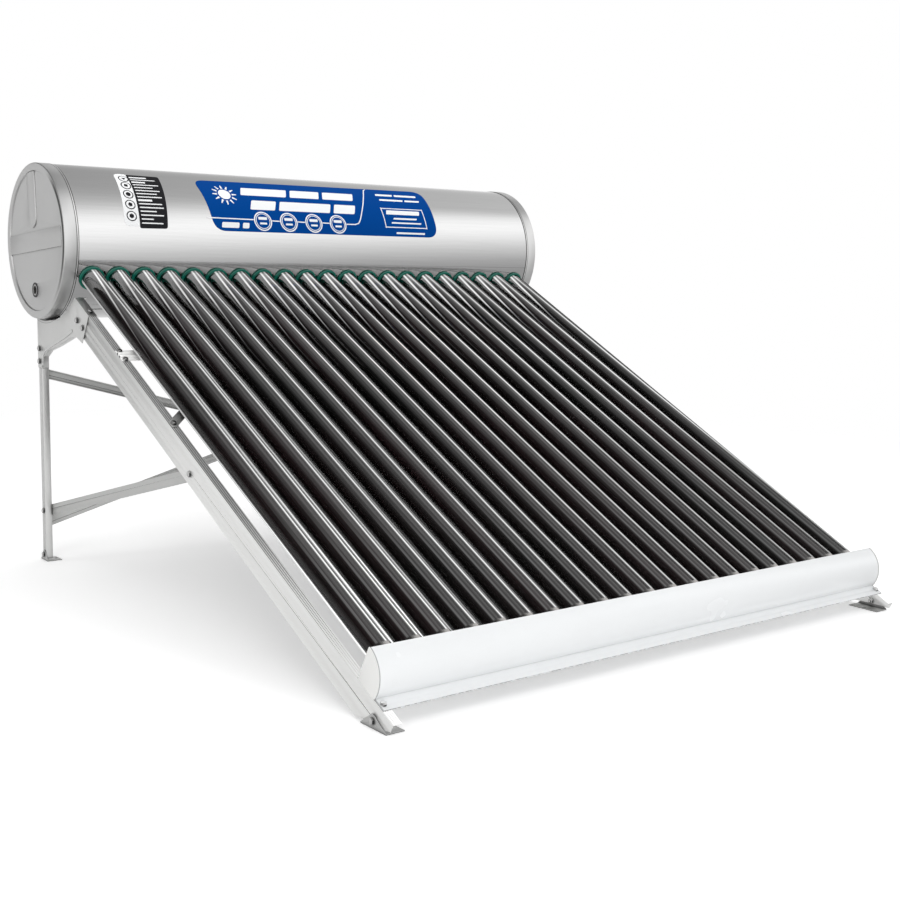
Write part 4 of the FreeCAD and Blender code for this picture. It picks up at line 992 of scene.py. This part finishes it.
def patch(name, outlines, lift, thick, material):
    """Curved sticker pieces, lift mm above the shell and thick mm deep."""
    verts, faces = [], []
    for outline in outlines:
        points, cut = cut_faces(outline)
        base = len(verts)
        top = base + len(points)
        verts += [on_tank(x, turn, lift) for x, turn in points]
        verts += [on_tank(x, turn, lift + thick) for x, turn in points]
        border = {}             # edges used by one face only, in order
        for face in cut:
            faces.append(tuple(top + i for i in face))
            faces.append(tuple(base + i for i in reversed(face)))
            for a, b in zip(face, [*face[1:], face[0]]):
                if (b, a) in border:
                    del border[(b, a)]
                else:
                    border[(a, b)] = True
        for a, b in border:
            faces.append((base + a, base + b, top + b, top + a))
    obj = new_piece(name, verts, faces, [MATERIALS[material]], smooth=False)
    tidy(obj.data)
    shade_smooth(obj.data)
    obj.data.set_sharp_from_angle(angle=math.radians(30))


def rounded(corners, radius, steps):
    """Rounds a polygon's corners."""
    flat = [Vector((x, turn * ARC_MM)) for x, turn in corners]
    points = []
    for k, corner in enumerate(flat):
        before, after = flat[k - 1], flat[(k + 1) % len(flat)]
        reach = min(radius, (before - corner).length / 2.05, (after - corner).length / 2.05)
        start = corner + (before - corner).normalized() * reach
        end = corner + (after - corner).normalized() * reach
        for step in range(steps + 1):
            t = step / steps
            point = start * (1 - t) ** 2 + corner * 2 * t * (1 - t) + end * t ** 2
            points.append((point.x, point.y / ARC_MM))
    return points


def disc(x, turn, radius, sides, phase=0.0):
    angles = [2 * math.pi * k / sides + phase for k in range(sides)]
    return [(x + radius * math.cos(angle), turn + radius * math.sin(angle) / ARC_MM)
            for angle in angles]


def band(points, width):
    """A bent strip of even width through the points."""
    flat = [Vector((x, turn * ARC_MM)) for x, turn in points]
    left, right = [], []
    for k, point in enumerate(flat):
        arriving = (point - flat[k - 1]).normalized() if k else (flat[1] - point).normalized()
        leaving = (flat[k + 1] - point).normalized() if k < len(flat) - 1 else arriving
        heading = (arriving + leaving).normalized()
        across = Vector((-heading.y, heading.x))
        grow = 1.0 / max(0.5, across.dot(Vector((-arriving.y, arriving.x))))
        left.append(point + across * width / 2 * grow)
        right.append(point - across * width / 2 * grow)
    return [(point.x, point.y / ARC_MM) for point in left + right[::-1]]


def bar(left, right, turn, tall, lean, radius):
    """A leaning rounded bar centred on turn, tall mm high."""
    half = tall / ARC_MM / 2
    return rounded([(left + lean, turn - half), (right + lean, turn - half),
                    (right - lean, turn + half), (left - lean, turn + half)], radius, 4)


def sun(x, turn):
    """A disc with twelve tapering rays."""
    ray = [(25, -3.4), (40, -1.4), (40, 1.4), (25, 3.4)]     # (outwards, across), mm
    shapes = [disc(x, turn, 20, 36)]
    for k in range(12):
        angle = 2 * math.pi * k / 12
        ux, uy = math.cos(angle), math.sin(angle)
        shapes.append([(x + ux * out - uy * side, turn + (uy * out + ux * side) / ARC_MM)
                       for out, side in ray])
    return shapes


# The white line across the main label: its pieces between the badges, then
# the piece that climbs on the right.
LINE_WIDTH = 3.4
LINE_PIECES = [
    [(-423, 21.6), (-266, 21.3)],
    [(-202, 20.9), (-175, 20.8)],
    [(-111, 20.9), (-84, 20.8)],
    [(-20, 20.9), (6, 20.8)],
    [(70, 20.6), (104, 20.7), (118, 21.8), (126, 24.5), (192, 57.0), (199, 60.2), (208, 61.9)]]
# Plain blocks: left, right, turn, height, lean, corner radius
BLOCKS = [
    (-278, -118, 48.5, 34, -7, 5), (-104, 2, 48.5, 34, -7, 5), (16, 132, 48.5, 34, -7, 5),
    (-262, -176, 34.5, 34, -7, 5), (-162, 24, 34.5, 34, -7, 5), (38, 118, 34.5, 34, -7, 5),
    (-376, -318, 16.2, 17, -2, 4), (-306, -284, 16.2, 17, -2, 4),
    (232, 300, 54.0, 10, -2, 3), (308, 398, 54.0, 10, -2, 3),
    (236, 330, 47.4, 8, -2, 2.5), (338, 398, 47.4, 8, -2, 2.5), (262, 378, 14.6, 6, -1, 2)]
# The four sides of the framed panel on the right, and the blocks inside it
PANEL_SIDES = [
    [(224, 19.6), (390, 19.6)], [(390, 18.9), (390, 38.2)],
    [(390, 37.5), (224, 37.5)], [(224, 38.2), (224, 18.9)]]
PANEL_BLOCKS = [
    (240, 374, 33.6, 16, -3, 3), (262, 356, 27.6, 6, -2, 2), (250, 370, 23.6, 5, -1, 1.5)]
# Round badges in a row, as stacked discs: part, radius, lift, thickness, material
BADGE_X = (-234, -143, -52, 38)
BADGE_TURN = 20.4
BADGE_DISCS = [
    ("rings", 31, 0.43, 0.20, "print"), ("fields", 27, 0.66, 0.12, "blue"),
    ("inner", 24.6, 0.80, 0.10, "print"), ("centres", 22.4, 0.92, 0.10, "blue")]


def main_label():
    sheet = rounded([(-402, 11.3), (430, 11.7), (431, 63.8), (-423, 61.0)], 40, 10)
    patch("label_blue_sheet", [sheet], lift=0.05, thick=0.35, material="blue")
    marks = [band(points, LINE_WIDTH) for points in LINE_PIECES]
    marks += sun(-340, 44.0)
    marks += [bar(*row) for row in BLOCKS]
    marks += [band(points, 3.0) for points in PANEL_SIDES]
    marks += [bar(*row) for row in PANEL_BLOCKS]
    patch("label_white_print", marks, lift=0.42, thick=0.18, material="print")
    for part, radius, lift, thick, material in BADGE_DISCS:
        patch("label_badge_" + part, [disc(x, BADGE_TURN, radius, 40) for x in BADGE_X],
              lift, thick, material)
    upper = [bar(x - 15, x + 15, 22.6, 9, 0, 2.5) for x in BADGE_X]
    lower = [bar(x - 12, x + 12, 18.4, 6, 0, 1.5) for x in BADGE_X]
    patch("label_badge_marks", upper + lower, lift=1.04, thick=0.10, material="print")


# Small data label: round signs as (x, turn), with the sides of each sign's mark
SIGNS = [(-647, 56.4), (-651, 47.9), (-655, 38.8), (-658, 29.6), (-661, 20.3)]
SIGN_SIDES = (3, 4, 12, 5, 6)
TEXT_TOP, TEXT_PITCH = 58.6, 3.1    # first line's turn and the step down, degrees
TEXT_SHARES = (0.62, 0.9, 0.5, 0.96, 0.7, 0.94, 0.8, 0.96, 0.55, 0.92, 0.97, 0.66, 0.94,
               0.5, 0.9)            # how much of the room each line fills
TEXT_HEADINGS = (0, 2, 8)           # the taller lines


def text_lines():
    lines = []
    for k, share in enumerate(TEXT_SHARES):
        turn = TEXT_TOP - k * TEXT_PITCH
        left = -627 + (TEXT_TOP - turn) * -0.12
        room = 86 - k * 0.9
        tall = 6.5 if k in TEXT_HEADINGS else 3.6
        lines.append(bar(left, left + room * share, turn, tall, 0, 1.0))
    return lines


def data_label():
    """A white rounded strip of five round signs beside a dark panel of lines."""
    strip = rounded([(-687, 12.4), (-622, 12.4), (-622, 63.4), (-670, 64.0)], 22, 8)
    patch("data_label_strip", [strip], lift=0.05, thick=0.25, material="print")
    panel = rounded([(-640, 11.2), (-554, 11.5), (-531, 62.0), (-632, 62.8)], 7, 6)
    patch("data_label_panel", [panel], lift=0.32, thick=0.12, material="black")
    patch("data_label_signs", [disc(x, turn, 15.5, 28) for x, turn in SIGNS],
          lift=0.46, thick=0.12, material="black")
    patch("data_label_sign_fields", [disc(x, turn, 12.4, 28) for x, turn in SIGNS],
          lift=0.60, thick=0.10, material="print")
    patch("data_label_sign_marks",
          [disc(x, turn, 7.5, sides, phase=0.5) for (x, turn), sides in zip(SIGNS, SIGN_SIDES)],
          lift=0.72, thick=0.10, material="black")
    patch("data_label_lines", text_lines(), lift=0.46, thick=0.10, material="print")


main_label()
data_label()

# ---------------------------------------------------------------------- stage
# Studio brightness against the angle round the tank's axis: 0 is the front
# horizon, 90 overhead, 180 the back horizon, negative below the front horizon.
STUDIO = [
    (-90, 0.36), (-50, 0.38), (-34, 0.48), (-21, 0.64), (-12, 0.75), (-3, 0.88), (6, 1.02),
    (16, 1.16), (24, 1.23), (32, 1.24), (40, 1.18), (50, 1.01), (60, 0.79), (71, 0.60),
    (83, 0.50), (104, 0.47), (133, 0.45), (150, 0.48), (162, 0.62), (176, 0.85), (200, 0.80),
    (240, 0.55), (270, 0.40)]


def studio(x, y, z):
    """What a mirror sees in direction (x, y, z)."""
    turn = turn_of(y, z)
    turn = turn + turn.lt(-90.0) * 360.0
    # the table slides round with x, at the front and overhead only
    shifted = turn - (x - 0.45).max(-0.10).min(0.24) * 105.0 * turn.fade(60, 100)
    level = ((shifted + 90.0) / 360.0).ramp([((turn + 90) / 360, v) for turn, v in STUDIO])
    # behind, it brightens towards the right
    behind = turn.smooth(62, 100)
    level = level * ((x - 0.45).max(-0.2).min(0.25) * 1.6 * behind + 1.0)
    # dark curtain overhead and behind on the left
    high = z.smooth(0.18, 0.45)
    curtain = x.smooth(-0.15, 0.40, 0.10, 1.0)
    return level * ((curtain - 1.0) * behind * high + 1.0)


def mat_paper():
    """Pale paper that turns plain white away from the object."""
    mat = Material("stage_paper")
    x, y, _ = mat.xyz()
    paper = mat.noise(2.0, detail=2)
    mat.set(color=mat.mix(paper, (0.86, 0.86, 0.86), (0.90, 0.90, 0.90)),
            rough=0.9, spec=0.05)
    lit = mat.add_shader(mat.bsdf.outputs[0], mat.emission(0.30))
    far = (((y + 0.6) * (y + 0.6)) + x * x).sqrt().smooth(2.2, 4.2)
    seen = mat.mix_shader(far, lit, mat.emission(1.0))
    # in reflections the floor takes the studio's own tones
    incoming = mat.xyz(mat.node("ShaderNodeNewGeometry").outputs["Incoming"])
    mirrored = mat.emission(studio(*[part * -1.0 for part in incoming]))
    mat.show(mat.mix_shader(mat.light_path("Is Glossy Ray"), seen, mirrored))
    return mat.data


def stage_floor():
    cells, half, z = 24, 16.0, -0.0005
    row = cells + 1
    verts = [(-half + 2 * half * i / cells, -half + 2 * half * j / cells, z)
             for j in range(row) for i in range(row)]
    faces = [(j * row + i, j * row + i + 1, (j + 1) * row + i + 1, (j + 1) * row + i)
             for j in range(cells) for i in range(cells)]
    new_piece("stage_floor", verts, faces, [mat_paper()], body=None)


def softbox(name, place, target, size, power):
    """A square area light that doesn't show in reflections."""
    light = bpy.data.lights.new(name, "AREA")
    light.energy = power
    light.shape = "RECTANGLE"
    light.size = size
    light.size_y = size
    obj = bpy.data.objects.new(name, light)
    bpy.context.scene.collection.objects.link(obj)
    obj.location = place
    aim = Vector(target) - Vector(place)
    obj.rotation_euler = aim.to_track_quat("-Z", "Y").to_euler()
    obj.visible_glossy = False


def studio_world():
    """Studio tones in reflections, soft grey light, plain white to the camera."""
    world = bpy.data.worlds.new("studio")
    bpy.context.scene.world = world
    world.use_nodes = True
    tree = world.node_tree
    tree.nodes.clear()
    coords = add_node(tree, "ShaderNodeTexCoord")
    x, y, z = split(tree, coords.outputs["Generated"])
    rays = add_node(tree, "ShaderNodeLightPath").outputs
    glossy = Value(tree, rays["Is Glossy Ray"])
    camera = Value(tree, rays["Is Camera Ray"])
    backdrop = 1.0
    soft = z.smooth(-0.2, 1.0, 0.56, 0.66)
    strength = studio(x, y, z) * glossy + soft * glossy.cut()
    strength = strength * camera.cut() + camera * backdrop
    background = add_node(tree, "ShaderNodeBackground", {0: (1, 1, 1, 1), 1: strength})
    add_node(tree, "ShaderNodeOutputWorld", {0: background.outputs[0]})


def place_camera():
    camera = bpy.data.cameras.new("camera")
    camera.sensor_width = 36.0
    camera.lens = 52.2948
    camera.clip_end = 100
    obj = bpy.data.objects.new("camera", camera)
    bpy.context.scene.collection.objects.link(obj)
    right = Vector((0.78743952, -0.61598974, 0.02226294)).normalized()
    up = Vector((0.07183607, 0.12758261, 0.98922306)).normalized()
    forward = Vector((0.61219162, 0.77735405, -0.14471387)).normalized()
    turned = Matrix((right, up, -forward)).transposed().to_4x4()
    obj.matrix_world = Matrix.Translation((-2.27279, -3.74134, 0.92849)) @ turned
    bpy.context.scene.camera = obj


def render_settings():
    scene = bpy.context.scene
    scene.view_settings.view_transform = "Standard"
    scene.view_settings.look = "None"
    scene.view_settings.exposure = 0.0
    scene.cycles.use_denoising = True
    scene.cycles.max_bounces = 10
    scene.cycles.transparent_max_bounces = 24
    scene.cycles.glossy_bounces = 5
    scene.cycles.diffuse_bounces = 4
    scene.cycles.sample_clamp_indirect = 6.0


stage_floor()
softbox("key_softbox", (-3.4, -4.4, 4.4), target=(0, -0.6, 0.5), size=3.0, power=108)
softbox("fill_softbox", (4.5, -3.0, 3.0), target=(0, -0.6, 0.5), size=3.0, power=35)
softbox("top_softbox", (0.4, 0.6, 5.0), target=(0, -0.6, 0.4), size=4.0, power=80)
studio_world()
place_camera()
render_settings()
